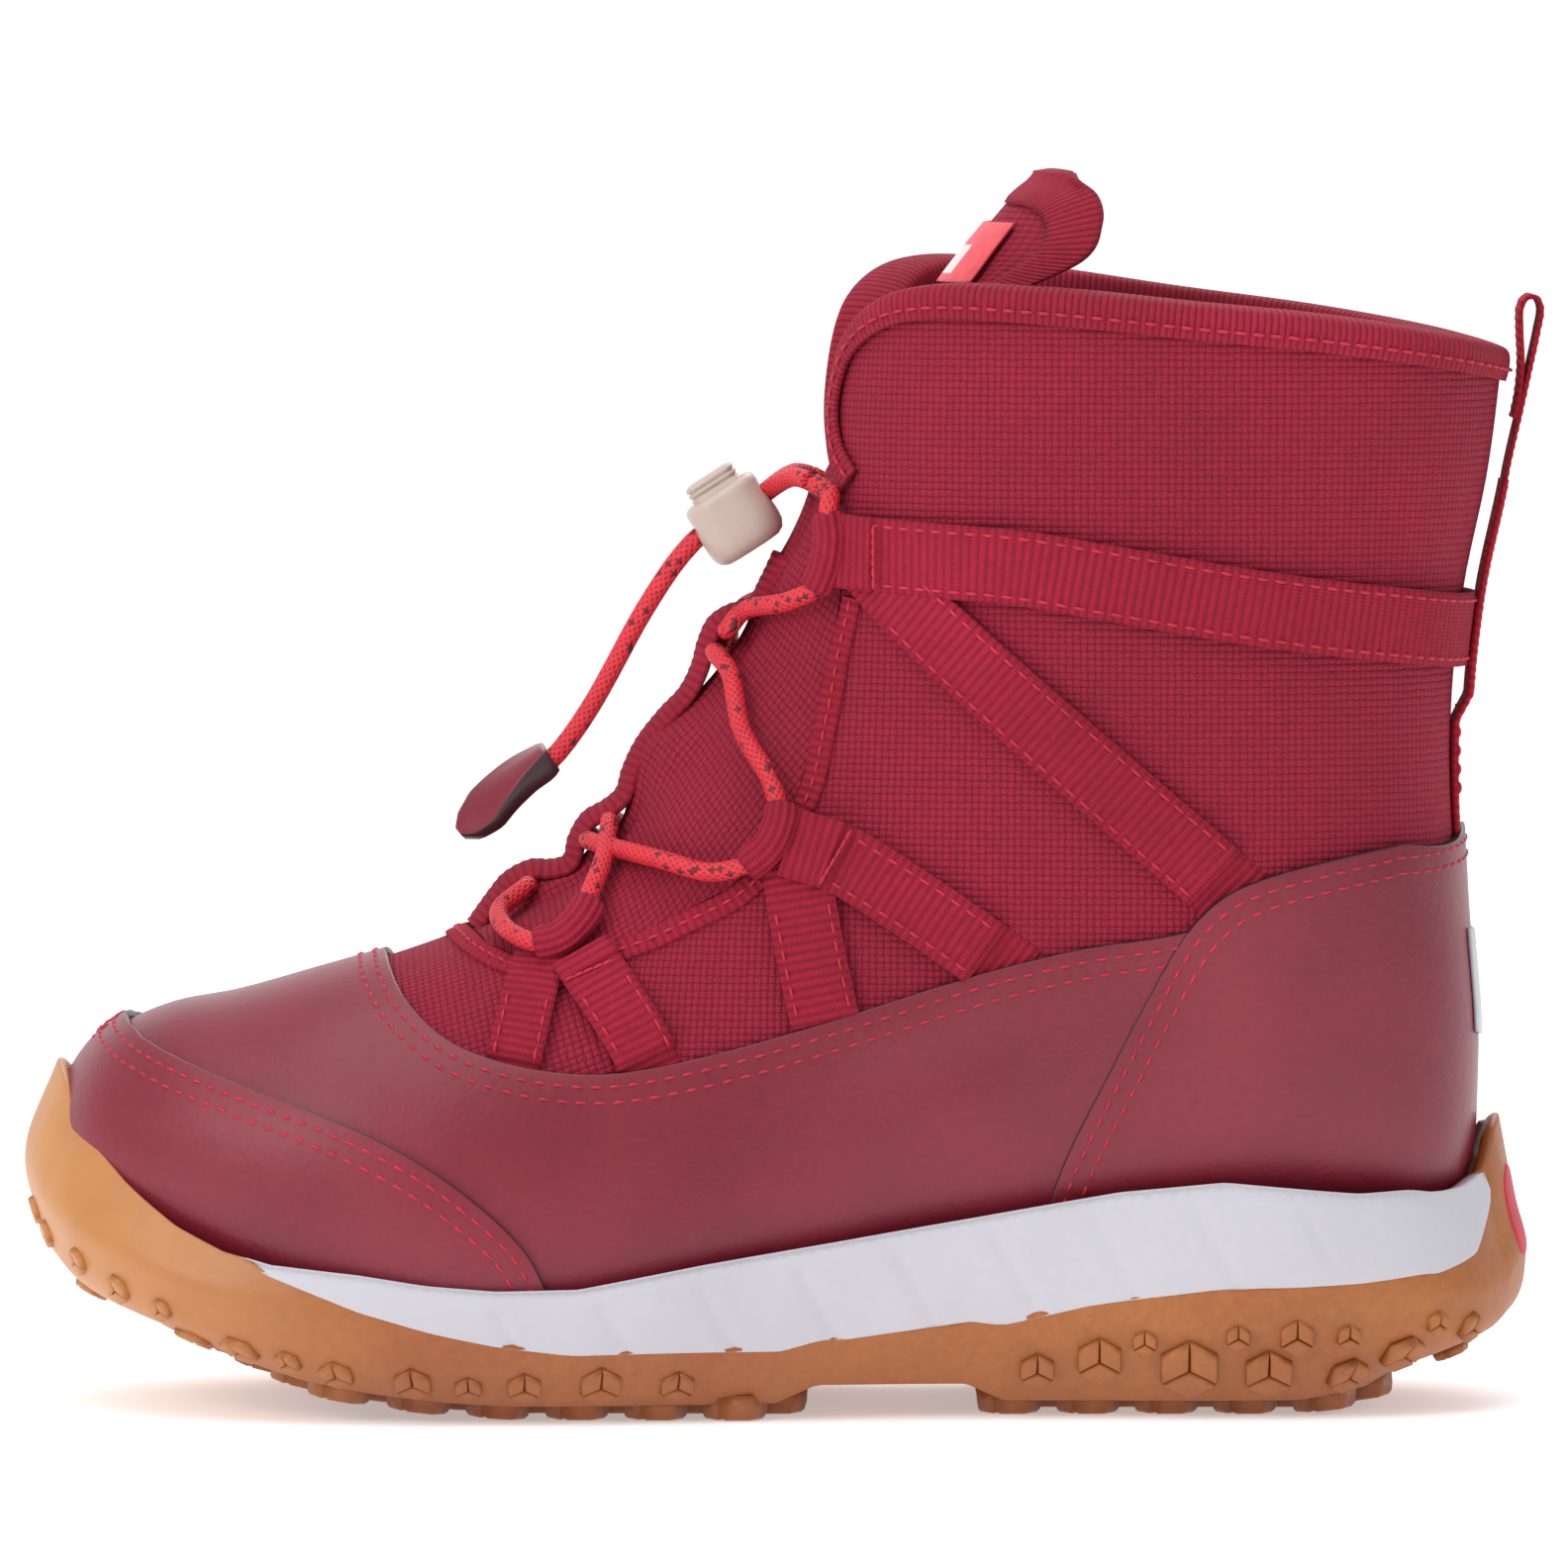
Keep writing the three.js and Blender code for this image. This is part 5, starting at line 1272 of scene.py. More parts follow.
def band(name, centres, sides, ups, half, low, high, material, body, slot, bow=0.0, columns=9, ribs=0.12,
         dip=0.12):
    """Flat woven tape: centres with the direction across and the direction up at each of them, from
    low to high off the centre line; ribs run across it and the selvedges are rounded."""
    along = np.concatenate([[0], np.cumsum(np.linalg.norm(np.diff(centres, axis=0), axis=1))])
    rings, marks = [], []
    across = np.linspace(-1, 1, columns)
    for i, s in enumerate(along):
        rib = ribs * 0.5 * (1 - math.cos(2 * math.pi * s / RIB_PITCH))
        wide = np.broadcast_to(half, (len(along),))[i]
        top = [(u * wide, high - rib - bow * u * u - dip * max(abs(u) - 0.8, 0) / 0.2) for u in across]
        selvedge = (low + high) / 2 - bow
        ring = [(-wide - 0.15, selvedge), *top, (wide + 0.15, selvedge)]
        ring += [(u * wide, low + 0.03 - bow * u * u) for u in across[::-1]]
        rings.append([centres[i] + sides[i] * w + ups[i] * h for w, h in ring])
        marks += [1.0] + [0.0] * columns + [1.0] + [0.0] * columns
    p, f, uv = ring_mesh(rings)
    return piece(name, p, f, material, body, uv, marks)


def skin_band(name, route, half, low, high, material, body, tuck=0.0, doubled=0.0, lifts=None):
    """Tape laid on the upper along a route of coordinates on it; over its last `tuck` mm it goes down
    under the panel that it is caught by, and its first `doubled` mm are folded double."""
    line = soft_path(np.column_stack([np.asarray(route) * skin.scale, np.zeros(len(route))]), 6)[:, :2]
    line = even(line, 0.33) / skin.scale
    centres = skin.at(line)
    ups = skin.facing(line)
    ahead = unit(np.gradient(centres, axis=0))
    sides = unit(np.cross(ups, ahead))
    columns = 9
    half = np.broadcast_to(half, (len(line),))
    rings, marks = [], []
    along = np.concatenate([[0], np.cumsum(np.linalg.norm(np.diff(centres, axis=0), axis=1))])
    rib = 0.06 * (1 - np.cos(2 * np.pi * along / RIB_PITCH))
    drop = (high - 0.3) * smoothly((along - along[-1] + tuck + 2.2) / 2.2) if tuck else np.zeros(len(along))
    ends = along if tuck else np.minimum(along, along[-1] - along)
    fold = 0.95 * smoothly((doubled - ends) / 0.8) if doubled else np.zeros(len(along))
    if lifts:
        drop = drop - np.interp(along, *np.array(lifts, float).T)
    for u in np.concatenate([[-1.02], np.linspace(-1, 1, columns), [1.02]]):
        spot = skin.walk(line, sides * (half * u)[:, None])
        fall = 0.12 * max(abs(u) - 0.8, 0) / 0.2
        rings.append((spot, (low + high) / 2 if abs(u) > 1.01 else high - fall))
    profile = []
    for spot, level in rings:
        lift = level - (rib if level > (low + high) / 2 + 0.01 else 0) + fold * (0.5 if level < high - 0.5
                                                                                 else 1)
        profile.append(skin.at(spot, lift - drop))
    for spot, level in rings[1:-1][::-1]:
        profile.append(skin.at(spot, low - drop))
    profile = np.array(profile).transpose(1, 0, 2)
    marks = np.tile([1.0] + [0.0] * columns + [1.0] + [0.0] * columns, len(line))
    p, f, uv = ring_mesh(profile)
    return piece(name, p, f, material, body, uv, marks), line, sides, half


def mirrored(route):
    return np.asarray(route) * [1, -1]


stitch_lines = []  # places, outward directions and running directions of every seam on the boot


def seam_on_skin(route, out, pitch=2.7, inset=0.0, trim=0.0, surface=skin):
    """A row of stitches on the upper along a route of coordinates, moved sideways by inset mm."""
    route = np.asarray(route, float)
    line = soft_path(np.column_stack([route * surface.scale, np.zeros(len(route))]), 6)[:, :2]
    line = even(line, 0.9) / surface.scale
    if inset:
        ahead = unit(np.gradient(surface.at(line), axis=0))
        line = surface.walk(line, unit(np.cross(surface.facing(line), ahead)) * inset)
    points = surface.at(line, out)
    spots = even(np.column_stack([points, line]), 0.25)
    travel = np.concatenate([[0], np.cumsum(np.linalg.norm(np.diff(spots[:, :3], axis=0), axis=1))])
    want = np.arange(pitch / 2, travel[-1] - trim, pitch)
    found = np.stack([np.interp(want, travel, spots[:, k]) for k in range(5)], axis=1)
    ahead = np.stack([np.interp(want, travel, np.gradient(spots[:, k])) for k in range(3)], axis=1)
    if len(want):
        stitch_lines.append((found[:, :3], surface.facing(found[:, 3:]), unit(ahead)))


def both_seams(route, out, pitch=2.7, insets=(0.0,), trim=0.0):
    for inset in insets:
        seam_on_skin(route, out, pitch, inset, trim)
        seam_on_skin(mirrored(route), out, pitch, -inset, trim)


ankle_outer = on_skin([(10.6, 125.2), (16, 124.8), (24, 124.3), (35, 123.5), (50, 121.0), (65, 118.3),
                       (80, 116.0), (92, 114.4)])
back_a = on_skin([(101, 113.2)])[0][0]
ankle_route = np.vstack([ankle_outer, [(back_a, 0.5)], ankle_outer[::-1] * [1, -1] + [0, 1]])
ankle_strap = skin_band("ankle_webbing", ankle_route, 5.4, 1.0, 2.1, WEBBING, "boot", 0, 7)[0]
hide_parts("ankle_strap")
for inset in (-4.3, 4.3):
    seam_on_skin(ankle_route, 2.12, 2.7, inset)
diagonal_outer = on_skin([(14.5, 123.6), (19.7, 117.9), (27, 110.9), (35, 103.6), (45, 94.7), (55, 86.0),
                          (63, 78.9), (67.5, 74.6)])
middle_long = on_skin([(2.6, 82.8), (10, 80.6), (19, 75.2), (28, 69.2), (35.5, 63.8)])
middle_short = on_skin([(3.2, 80.5), (4.2, 74), (5.6, 66), (7.4, 57.5), (9, 50)])
low_long = on_skin([(-27.6, 66), (-24.6, 62), (-20.6, 56), (-17.4, 50), (-15.6, 46)])
low_short = on_skin([(-33.6, 66), (-35.3, 60.5), (-36.6, 55.5), (-38, 50), (-39.2, 45)])
SLEEVES = {
    "ankle": [(10.2, 130.4, 3.1), (10.3, 126.5, 3.1), (9.3, 122.2, 3.1), (8.0, 119.4, 3.0)],
    "middle": [(2.0, 88.0, 2.8), (1.5, 85.2, 2.9), (0.0, 82.0, 2.9), (-3.4, 79.0, 2.7)],
    "low": [(-25.8, 72.4, 2.8), (-27.6, 69.8, 2.9), (-30.4, 67.4, 2.9), (-33.8, 66.4, 2.8)],
}


def sleeve(name, run, side):
    """The folded front end of a strap, round the lace and down onto the upper on both sides of it."""
    line = even(soft_path(side_points(run, side), 6), 0.8)
    floor_line = even(soft_path(side_points([(x, z, 1.2) for x, z, _ in run], side), 6), 0.8)[:len(line)]
    line = line[:len(floor_line)]
    up = unit(line - floor_line)
    ahead = unit(np.gradient(line, axis=0))
    up = unit(up - ahead * (up * ahead).sum(1)[:, None])
    cross = np.cross(up, ahead)
    along = np.concatenate([[0], np.cumsum(np.linalg.norm(np.diff(line, axis=0), axis=1))])
    rings = []
    for i, s in enumerate(along):
        end = min(s, along[-1] - s)
        swell = 1 - 0.1 * max(1 - end / 0.5, 0) ** 2
        ring = []
        for k in range(72):
            a = 2 * math.pi * k / 72
            radius = (2.35 - 0.05 * (1 - math.cos(12 * a))) * swell
            w, h = radius * math.cos(a) * 1.12, radius * math.sin(a)
            if h < 0:
                w, h = w * (1 + 0.35 * (-h / radius) ** 2), max(h, -2.0)
            ring.append(line[i] + cross[i] * w + up[i] * h)
        rings.append(ring)
    p, f, uv = ring_mesh(rings)
    uv = [(v * 1.3 * 12 / 15.6, u) for u, v in uv]
    return piece(name, p, f, WEBBING, "boot", uv, np.zeros(len(p)))


for side, name in ((-1, "lateral"), (1, "medial")):
    turned = (lambda r: r) if side < 0 else mirrored
    strip = skin_band(f"diagonal_webbing_{name}", turned(diagonal_outer), 5.3, 0.3, 1.95, WEBBING, "boot",
                      4.5)[0]
    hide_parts(f"diagonal_strap_{name}")
    strip = skin_band(f"middle_webbing_long_{name}", turned(middle_long), 5.0, 1.0, 2.1, WEBBING, "boot",
                      5, 7.5)[0]
    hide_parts(f"middle_loop_{name}")
    skin_band(f"middle_webbing_short_{name}", turned(middle_short), 5.0, 0.9, 1.8, WEBBING, "boot",
              6.5)
    strip = skin_band(f"low_webbing_long_{name}", turned(low_long), 4.6, 1.0, 2.1, WEBBING, "boot",
                      6, 3)[0]
    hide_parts(f"low_loop_{name}")
    skin_band(f"low_webbing_short_{name}", turned(low_short), 3.9, 0.9, 1.8, WEBBING, "boot", 7)
    for part, run in SLEEVES.items():
        sleeve(f"{part}_loop_fold_{name}", run, side)
for route, out, half, trim in ((diagonal_outer[1:], 1.98, 4.2, 6.5), (middle_long[1:], 2.12, 3.6, 7.5),
                               (middle_short[1:], 1.85, 3.9, 8.5), (low_long[1:], 2.12, 3.6, 8),
                               (low_short[1:], 1.85, 2.9, 8)):
    both_seams(route, out, 2.7, (-half, half), trim)
for bar, out in (([(16.0, 120.0), (16.2, 129.7)], 3.05), ([(11.6, 84.6), (7.2, 77.2)], 3.05),
                 ([(-30, 62.2), (-22.6, 65.4)], 2.2)):
    both_seams(on_skin([bar[0], tuple(np.mean(bar, axis=0)), bar[1]]), out, 1.5)

# ---- Throat tape ------------------------------------------------------------------------------
# Narrow grosgrain tape folded over the raw edge of the quarters, all round the throat.
tape_line = on_skin([(-46.9, 70.6), (-43.5, 67.2), (-36.6, 64.6), (-29.6, 64.9), (-23.4, 66.9),
                     (-14.4, 70.6), (-5.2, 75.4),
                     (1.1, 81.8), (4.9, 89.6), (7.5, 99.7), (9.5, 109.8), (11.4, 118.4)])
top_place = on_centre((-47.6, 74))
tape_route = np.vstack([tape_line[::-1], [top_place], tape_line * [1, -1]])
throat_tape = skin_band("throat_edge_tape", tape_route, 1.6, -1.3, 0.75, WEBBING, "boot")[0]
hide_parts("throat_tape")

# ---- Collar binding ---------------------------------------------------------------------------
# Soft knit tape wrapped over the padded top edge and turned under on both sides, from one front
# corner of the throat up and round the back to the other.


def swept_edge(name, route, profile, material, body, surface=skin):
    """A closed profile carried along an edge; profile is (off the surface, beyond the edge) in mm."""
    line = soft_path(np.column_stack([np.asarray(route) * surface.scale, np.zeros(len(route))]), 6)[:, :2]
    line = even(line, 0.9) / surface.scale
    centres, normal = surface.at(line), surface.facing(line)
    ahead = unit(np.gradient(centres, axis=0))
    beyond = unit(np.cross(normal, ahead))
    rounded = soft_path([(*q, 0) for q in [*profile, profile[0]]], 3)[:-1, :2]
    rings = [[c + n * a + b * e for a, e in rounded] for c, n, b in zip(centres, normal, beyond)]
    p, f, uv = ring_mesh(rings)
    return piece(name, p, f, material, body, uv)


def knit_material():
    made, tree, shader, _, uv, colour = material("knit_binding", "95152C", "AC213E", 0.8, 0.03)
    split = tree.nodes.new("ShaderNodeSeparateXYZ")
    tree.links.new(uv, split.inputs[0])
    cord = calc(tree, "ABSOLUTE",
                calc(tree, "SINE", calc(tree, "MULTIPLY", split.outputs[0], math.pi / 0.95)))
    yarn = use(tree, WEAVE, Place=uv, Pitch=0.4)
    height = calc(tree, "MULTIPLY_ADD", yarn["Height"], 0.25, cord)
    # Painted shade: the grooves between the knit cords are darkened.
    tree.links.new(blend_colour(tree, fit(tree, cord, 0.55, 0.1, 0, 0.75), colour, rgb("560E1E")),
                   shader.inputs["Base Color"])
    bump(tree, shader, height, 0.8, 0.3)
    shader.inputs["Specular IOR Level"].default_value = 0.3
    return made


KNIT = knit_material()
collar_outer = on_skin([(10.4, 133.8), *COLLAR[:-1]])
collar_back = on_skin([(108, 153.5)])[0][0]
collar_inner = on_skin([(10.4, 133.8), *INNER_COLLAR[:-1]])
collar_route = np.vstack([collar_outer, [(collar_back, 0.5)], collar_inner[::-1] * [1, -1] + [0, 1]])
BINDING = [(0.9, -4.4), (1.15, -3), (1.1, -0.6), (0.5, 0.3), (-0.9, 0.8), (-3.5, 1.0), (-6, 0.8),
           (-7.3, 0.3), (-7.8, -0.6),
           (-8.0, -3), (-7.6, -4.1), (-6.9, -4.1), (-6.9, -2.6), (0.2, -2.6), (0.2, -4.2)]
probe = skin.at(collar_outer[5:6])[0]
step = skin.at(collar_outer[6:7])[0] - probe
beyond = np.cross(skin.facing(collar_outer[5:6])[0], step)
if beyond[2] < 0:
    collar_route = collar_route[::-1]
binding = swept_edge("collar_knit_binding", collar_route, BINDING, KNIT, "boot")
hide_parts("collar_binding")

# ---- Lining and insole ------------------------------------------------------------------------
# Dark fleece bonded to thin foam, sewn as a sock and caught under the collar binding; the loose
# footbed inside is moulded foam under the same fleece.


def fleece_material():
    made, tree, shader, place, _, colour = material("dark_fleece", "2C2B30", "45444A", 0.97, 0.02)
    curl = clouds(tree, place, 420, 6)
    tuft = clouds(tree, place, 1500, 4)
    tree.links.new(blend_colour(tree, fit(tree, curl, 0.4, 0.65, 0, 0.5), colour, rgb("66646A")),
                   shader.inputs["Base Color"])
    bump(tree, shader, calc(tree, "ADD", curl, tuft), 1.0, 0.9)
    shader.inputs["Sheen Weight"].default_value = 0.6
    return made


FLEECE = fleece_material()


lining_rest = [(collar_back - 0.002, 0.4985), (0.75, 0.4985), (0.5, 0.4985), (0.25, 0.4985), (0.012, 0.4985),
               (0.012, 0.25), (0.012, 0)]
lining_outer, lining_inner = ([on_centre((-45.9, 73.5)), *on_skin(THROAT[1:] + edge[:-1]), *lining_rest]
                              for edge in (COLLAR, INNER_COLLAR))
lining = panel("fleece_lining", skin, over_top(lining_outer, lining_inner), -6.8, -4.2, FLEECE, "boot",
               0.1, 3.0)
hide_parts("lining")
footbed_outer = [(0.03, 0.5), (0.03, 0.40), (0.1, 0.35), (0.3, 0.33), (0.5, 0.35), (0.62, 0.36), (0.68, 0.5)]
footbed = panel("fleece_footbed", skin, over_back(footbed_outer), -12.5, -7.3, FLEECE, "boot", 0.3,
                3.0)
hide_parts("insole")

# ---- Tongue gusset ----------------------------------------------------------------------------
# The lower tongue is one soft woven panel with a thin foam, sewn to the throat all round so that no
# water gets in; its spare width lies in slack folds beside the middle tape.


def gusset_folds(points):
    x, y, z = points.T
    along = (x + 46) * 0.45 + (z - 66) * 0.9
    crown = np.exp(-((np.abs(y) - 6.5) / 1.3) ** 2) * smoothly((z - 71) / 6)
    crumple = np.sin(along * 0.38 + 0.25 * np.abs(y)) * smoothly((np.abs(y) - 5.5) / 4)
    pillow = 3.9 * np.exp(-((z - 94.5) / 7) ** 2) * smoothly((12 - np.abs(y)) / 7)
    pillow += 1.5 * np.exp(-((z - 80.5) / 2.5) ** 2) * smoothly((8 - np.abs(y)) / 4)
    pillow += 2.6 * np.exp(-((z - 75) / 2.4) ** 2) * smoothly((8 - np.abs(y)) / 4)
    return pillow - 1.0 * crown - 0.6 * (0.5 + 0.5 * crumple)


gusset_outer = [on_centre((-45.2, 73.5)),
                *on_skin([(-44.9, 70.6), (-41.7, 68.1), (-36, 66.1), (-30.2, 66.5), (-24.2, 68.5),
                (-15.2, 72.1), (-6.3, 76.8), (-0.4, 82.8), (3.1, 90.2), (5.6, 100), (7.6, 110), (9.4, 120),
                          (9.7, 130.2)])]
stem_top = on_skin([(9.7, 130.2)])[0][0]
gusset_outer.append((stem_top, 0.0))
gusset = panel("tongue_gusset", skin, over_top(gusset_outer), -5.8, -0.1, WOVEN, "boot", 0.15, 1.4,
               gusset_folds,
               front_cloth)
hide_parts("tongue_lower")

# ---- Tongue tape ------------------------------------------------------------------------------
# One length of the same webbing up the middle of the tongue, tacked down between three standing
# loops that the lace crosses through.
TAPE_ROUTE = [(-44.6, 70.2), (-43.2, 72.2), (-41.6, 74.4), (-39.4, 77.0), (-35.6, 78.9), (-32.8, 78.9),
              (-30.6, 79.6),
              (-29.9, 82.4), (-27.9, 85.8), (-24.8, 87.7), (-22.9, 89.4), (-22.0, 92.4), (-20.0, 96.6),
              (-16.6, 101.0),
              (-13.6, 104.2), (-11.8, 107.8), (-10.9, 111.2), (-9.4, 114.4), (-6.8, 116.2), (-3.6, 117.2),
              (-1.8, 120.2),
              (0.2, 124.4)]


def upright_band(name, route, half, thickness, material, body, slot, start_up=(0, 0, 1), bow=0.0):
    """Tape standing on edge to the side view: a route in x, z with the width along y."""
    line = even(soft_path([(x, 0, z) for x, z in route], 8), 0.33)
    ahead = unit(np.gradient(line, axis=0))
    ups = np.cross(ahead, (0, 1, 0))
    if (ups[0] * np.array(start_up)).sum() < 0:
        ups = -ups
    sides = np.tile([0.0, 1.0, 0.0], (len(line), 1))
    return band(name, line, sides, ups, half, -thickness / 2, thickness / 2, material, body, slot, bow)


tongue_tape = upright_band("tongue_middle_tape", TAPE_ROUTE, 5.3, 1.0, WEBBING, "boot", "webbing", bow=1.9)
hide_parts("tongue_webbing")

# ---- Tongue top -------------------------------------------------------------------------------
# The padded upper tongue: woven cloth over 6 mm foam with the fleece behind, narrow between the
# quarters and spreading to a soft flared tip.
TONGUE = [(131.7, 5.3, 11.0, 2.9, 5.6), (138, 8.6, 9.8, 2.6, 6.6), (146, 13.2, 8.9, 2.4, 7.2),
          (154, 18.2, 9.0, 2.4, 7.4),
          (157.5, 20.4, 10.4, 3.6, 7.4), (161, 22.6, 16.8, 7.6, 7.5), (167, 27, 24.5, 17, 7),
          (172.5, 31.5, 24.5, 15.5, 6.5),
          (176.5, 35, 22, 11.5, 5.5), (179.2, 38.2, 15, 5, 3.5)]
tongue_rows = uniform_spline(TONGUE, 10)


def tongue_place(u, row, depth):
    """A point of the tongue: u from -1 to 1 across, depth 0 at the front face and 1 at the rear."""
    z, x, half, back, thick = tongue_rows[row].T
    bulk = thick * (1 - np.abs(u) ** 4)
    puff = 0.35 * np.cos(np.pi * u / 2) * np.sin(np.pi * np.clip((z - 132) / 30, 0, 1))
    return np.stack([x + back * u * u + depth * bulk - (1 - 2 * depth) * puff, half * u, z], axis=-1)


def tongue_ring(row, margin=0.0):
    """One level of the tongue as a closed ring, its sides rounded over."""
    turn = np.linspace(0, 2 * np.pi, 48, endpoint=False)
    u = np.cos(turn)
    depth = 0.5 - 0.5 * np.sign(np.sin(turn)) * np.abs(np.sin(turn)) ** 0.8
    half = tongue_rows[row][2]
    return tongue_place(u * (half - margin) / half, np.full(48, row), depth)


rows_total = len(tongue_rows)
rings = []
for row in range(rows_total):
    z = tongue_rows[row][0]
    margin = 4.2 * smoothly((z - 161.5) / 3.5)
    if z > 176.8:
        break
    rings.append(tongue_ring(row, margin))
closing = rings[-1]
for keep, rise in ((0.8, 0.45), (0.5, 0.75), (0.2, 0.85)):
    middle = closing.mean(axis=0)
    rings.append(middle + (closing - middle) * keep + [0, 0, rise])
p, f, uv = ring_mesh(rings)
tongue_top = piece("padded_tongue_top", p, f, WOVEN, "tongue", uv)
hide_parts("tongue_top")

# ---- Tongue binding ---------------------------------------------------------------------------
# The knit tape again, wrapped over the edge of the flared tip from one side round to the other.
# Its outer and inner edges are given as seen from the front, by half width and height.
TIP_OUTER = [(18.0, 161.2), (19.4, 162.6), (21.9, 164.7), (24.5, 167.6), (25.0, 170.4), (24.3, 173.3),
             (22.2, 176.3),
             (18.8, 178.4), (14.5, 179.5), (8, 179.9), (0, 180.0)]
TIP_INNER = [(14.6, 162.8), (15.6, 163.9), (17.2, 165.6), (18.9, 168.0), (19.2, 169.6), (18.4, 171.4),
             (16.6, 173.2),
             (14.0, 174.4), (11.0, 175.0), (6, 175.3), (0, 175.4)]


def tongue_faces(y, z):
    """Front and rear of the tongue at a place seen from the front."""
    x, half, back, thick = (np.interp(z, tongue_rows[:, 0], tongue_rows[:, k]) for k in (1, 2, 3, 4))
    u = np.clip(np.abs(y) / half, 0, 1)
    front = x + back * u * u
    return front, front + thick * (1 - u**4)


def tip_edge(line):
    half = soft_path([(y, 0, z) for y, z in line], 5)[:, [0, 2]]
    return np.vstack([half * [-1, 1], half[-2::-1]])


outer_edge, inner_edge = tip_edge(TIP_OUTER), tip_edge(TIP_INNER)
rings = []
for outer, inner in zip(outer_edge, inner_edge):
    front, rear = [], []
    for w in (0.0, 0.1, 0.3, 0.55, 0.8, 1.0):
        y, z = outer + (inner - outer) * w
        low, high = tongue_faces(y, z)
        lift = 0.75 * (1 - 0.45 * (1 - w) ** 4) * (0.55 if w == 1.0 else 1.0)
        front.append((low - lift, y, z))
        rear.append((high + lift, y, z))
    crest = outer + (outer - inner) / np.linalg.norm(outer - inner) * 0.35
    rings.append([*front, *rear[::-1], ((front[0][0] + rear[0][0]) / 2, *crest)])
p, f, uv = ring_mesh(rings)
tongue_edge = piece("tongue_knit_binding", p, f, KNIT, "tongue", uv)
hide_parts("tongue_binding")

# ---- Tongue label -----------------------------------------------------------------------------
# A small satin label sewn across the front of the tongue, coral with a plain white field.


def label_material():
    made, tree, shader, place, _, colour = material("satin_label", "E84A54", "F4626A", 0.48, 0.05)
    split = tree.nodes.new("ShaderNodeSeparateXYZ")
    tree.links.new(place, split.inputs[0])
    z = fit(tree, calc(tree, "ABSOLUTE", calc(tree, "SUBTRACT", split.outputs[2], 0.1672)), 0.0022, 0.0019)
    y = fit(tree, calc(tree, "ABSOLUTE", calc(tree, "SUBTRACT", split.outputs[1], 0.00058)), 0.0064, 0.0061)
    field = calc(tree, "MULTIPLY", z, y)
    tree.links.new(blend_colour(tree, field, colour, rgb("E2DCDA")), shader.inputs["Base Color"])
    threads = calc(tree, "SINE", calc(tree, "MULTIPLY", split.outputs[1], 2 * math.pi / 0.00035))
    bump(tree, shader, threads, 0.25, 0.05)
    return made


label_rings = []
for z in np.linspace(163.9, 172.6, 22):
    x, back = np.interp(z, tongue_rows[:, 0], tongue_rows[:, 1]), np.interp(z, tongue_rows[:, 0],
                                                                            tongue_rows[:, 3])
    half = np.interp(z, tongue_rows[:, 0], tongue_rows[:, 2])
    ring = [(x + back * (w / half) ** 2 - 1.05, w, z) for w in np.linspace(-12.5, 12.5, 21)]
    ring += [(q + 0.5, w, h) for q, w, h in ring[::-1]]
    label_rings.append(ring)
p, f, uv = ring_mesh(label_rings)
label = piece("plain_tongue_label", p, f, label_material(), "tongue", uv)
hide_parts("tongue_label")

# ---- Heel pull --------------------------------------------------------------------------------
# Red webbing sewn up the back seam and over the collar, ending in a doubled finger loop that
# stands up behind the collar.
strap_back = [(on_skin([(100, z)])[0][0], 0.5) for z in (82.4, 88, 95, 104, 113, 122, 130, 136.2)]
pull_strap = skin_band("heel_pull_webbing", strap_back, 5.4, 0.3, 1.3, RED_WEBBING, "boot",
                       lifts=[(0, -0.2), (17, 0.1), (21, 2.0), (52, 2.1)])[0]
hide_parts("heel_pull_strap")
PULL_LOOP = [(106.5, 133.4), (106.9, 136.0), (107.7, 139.8), (108.9, 145.0), (110.2, 151.0), (111.4, 156.6),
             (111.9, 160.0), (111.2, 161.5),
             (109.8, 161.6), (108.9, 160.2), (108.8, 157.0), (109.0, 152.0), (108.6, 147.4), (107.9, 144.0)]
pull_loop = upright_band("heel_pull_finger_loop", PULL_LOOP, 5.3, 0.85, RED_WEBBING, "pull_loop",
                         "red_webbing", (1, 0, 0))
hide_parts("heel_pull_loop")

# ---- Stitching --------------------------------------------------------------------------------
# Lockstitch in raspberry thread: double rows along the edges of the coated panels, single rows
# along the straps and bindings, and close bars where a strap is tacked down.


def thread_material():
    made, tree, shader, place, _, _ = material("raspberry_thread", "A8142E", "C4223E", 0.5, 0.05)
    twist = tree.nodes.new("ShaderNodeTexWave")
    tree.links.new(place, twist.inputs["Vector"])
    twist.inputs["Scale"].default_value = 900
    bump(tree, shader, twist.outputs["Fac"], 0.4, 0.05)
    return made


def stitch_shape():
    """A plump grain, 2 long and 0.5 across, lying along x with its lower third sunk."""
    points, faces = [], []
    stations = [(-1.0, 0.02), (-0.82, 0.62), (-0.45, 0.95), (0, 1.0), (0.45, 0.95), (0.82, 0.62), (1.0, 0.02)]
    for x, size in stations:
        for k in range(6):
            a = math.pi * k / 3
            points.append((x, 0.27 * size * math.cos(a), 0.27 * size * math.sin(a) + 0.05 - 0.3 * x * x))
    for i in range(len(stations) - 1):
        for k in range(6):
            a, b = 6 * i + k, 6 * i + (k + 1) % 6
            faces.append((a, a + 6, b + 6, b))
    faces += [tuple(range(6)), tuple(reversed(range(len(points) - 6, len(points))))]
    return points, faces


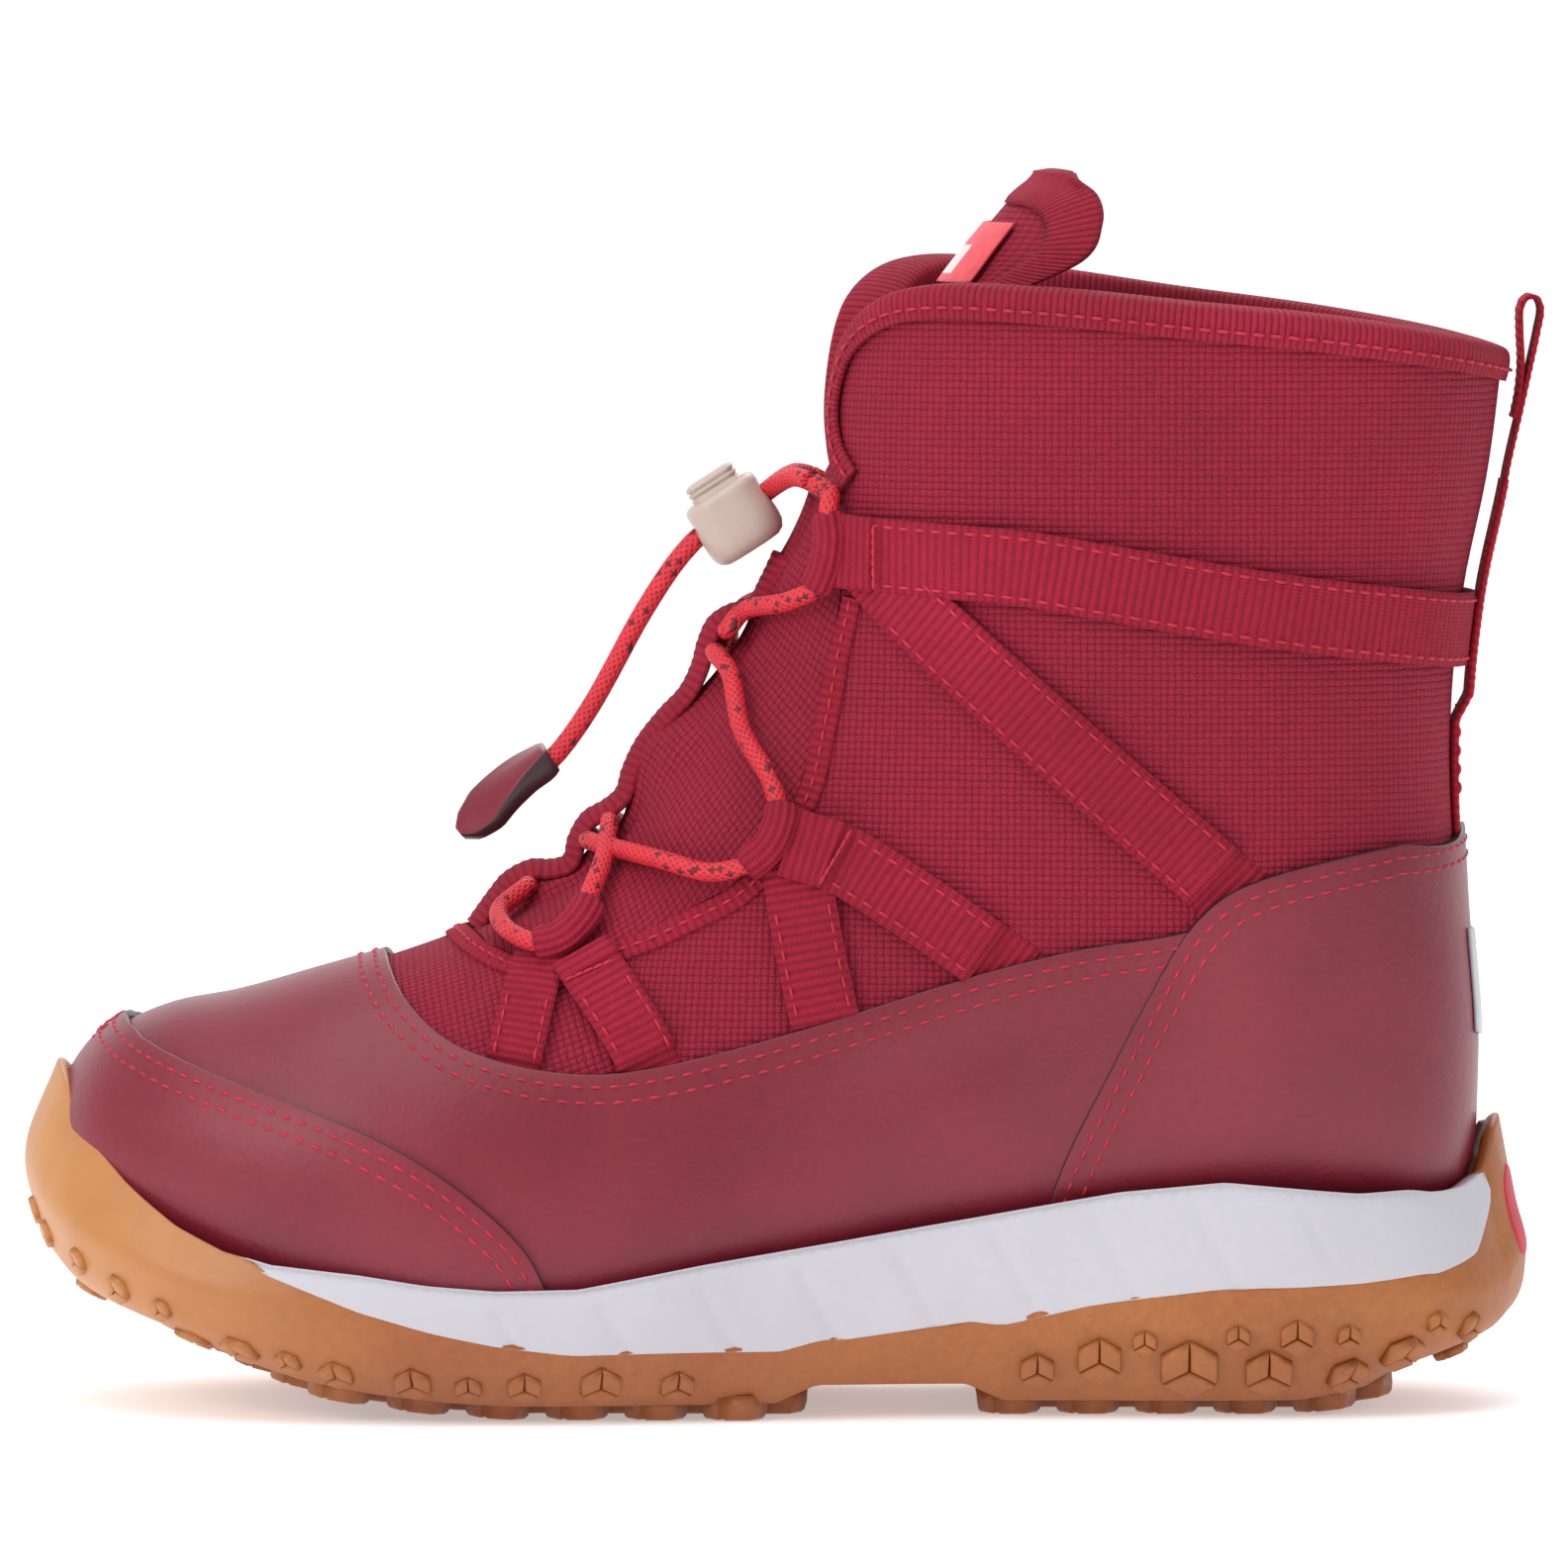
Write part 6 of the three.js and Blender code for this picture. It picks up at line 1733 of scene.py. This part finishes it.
toe_seam = np.vstack([on_skin(smooth_toe)[::-1], [on_centre((-98, 58))], on_skin(smooth_toe) * [1, -1]])
mud_seam = np.vstack([on_skin(smooth_mud[:-2])[::-1], [on_centre((-57.6, 66))],
                      on_skin(smooth_mud[:-2]) * [1, -1]])
back_top = (on_skin([(101, 83.4)])[0][0], 0.5)
heel_seam = np.vstack([on_skin(smooth_heel), [back_top], on_skin(smooth_heel)[::-1] * [1, -1] + [0, 1]])
for route, out, insets in ((toe_seam, 2.72, (1.6, 3.9)), (mud_seam, 1.32, (1.6, 3.9)),
                           (heel_seam, 1.77, (1.6, 3.9))):
    line = np.asarray(route)
    a0 = skin.at(line[3:4])[0]
    forward = skin.at(line[4:5])[0] - a0
    sideways = np.cross(skin.facing(line[3:4])[0], forward)
    down = -1 if sideways[2] > 0 else 1
    for inset in insets:
        seam_on_skin(route, out, 2.7, down * inset)
seam_on_skin(tape_route, 0.78, 2.4, 0.0)
seam_on_skin(collar_route, 1.45, 2.6, 2.7 * (1 if beyond[2] < 0 else -1))
for sign in (-1, 1):
    seam_on_skin(np.array(strap_back)[1:4] + [0, sign * 4.2 / 230], 1.42, 2.7, trim=3)
places = np.vstack([q[0] for q in stitch_lines])
outwards = np.vstack([q[1] for q in stitch_lines])
running = np.vstack([q[2] for q in stitch_lines])
scatter("upper_stitching", stitch_shape(), places, outwards, running, np.ones((len(places), 3)),
                thread_material(), "boot")

# ---- Hidden stiffeners ------------------------------------------------------------------------
# Pressed fibre toe puff, heel counter and lasting board, and the open-cell foam in the collar. They
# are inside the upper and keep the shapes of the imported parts.


def fibre_material():
    made, tree, shader, place, _, colour = material("pressed_fibre", "A08E6C", "C4B48E", 0.9, 0.04)
    flecks = fit(tree, clouds(tree, place, 900, 2, "ShaderNodeTexVoronoi"), 0.1, 0.35)
    tree.links.new(blend_colour(tree, flecks, rgb("7E6E50"), colour), shader.inputs["Base Color"])
    bump(tree, shader, clouds(tree, place, 800, 5), 0.4, 0.15)
    return made


def open_foam_material():
    made, tree, shader, place, _, colour = material("open_cell_foam", "BDB7AA", "D6D0C4", 0.95, 0.03)
    cells = clouds(tree, place, 1100, 2, "ShaderNodeTexVoronoi")
    # Painted shade: the pores of the foam are darkened.
    tree.links.new(blend_colour(tree, fit(tree, cells, 0.1, 0.5), rgb("8E887C"), colour),
                   shader.inputs["Base Color"])
    bump(tree, shader, cells, 0.7, 0.3)
    return made


FIBRE = fibre_material()
PADDING = open_foam_material()
for node, finish in (("lasting_board", FIBRE), ("toe_puff", FIBRE), ("heel_counter", FIBRE),
                     ("collar_foam", PADDING)):
    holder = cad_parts[node]
    holder.data.materials.clear()
    holder.data.materials.append(finish)
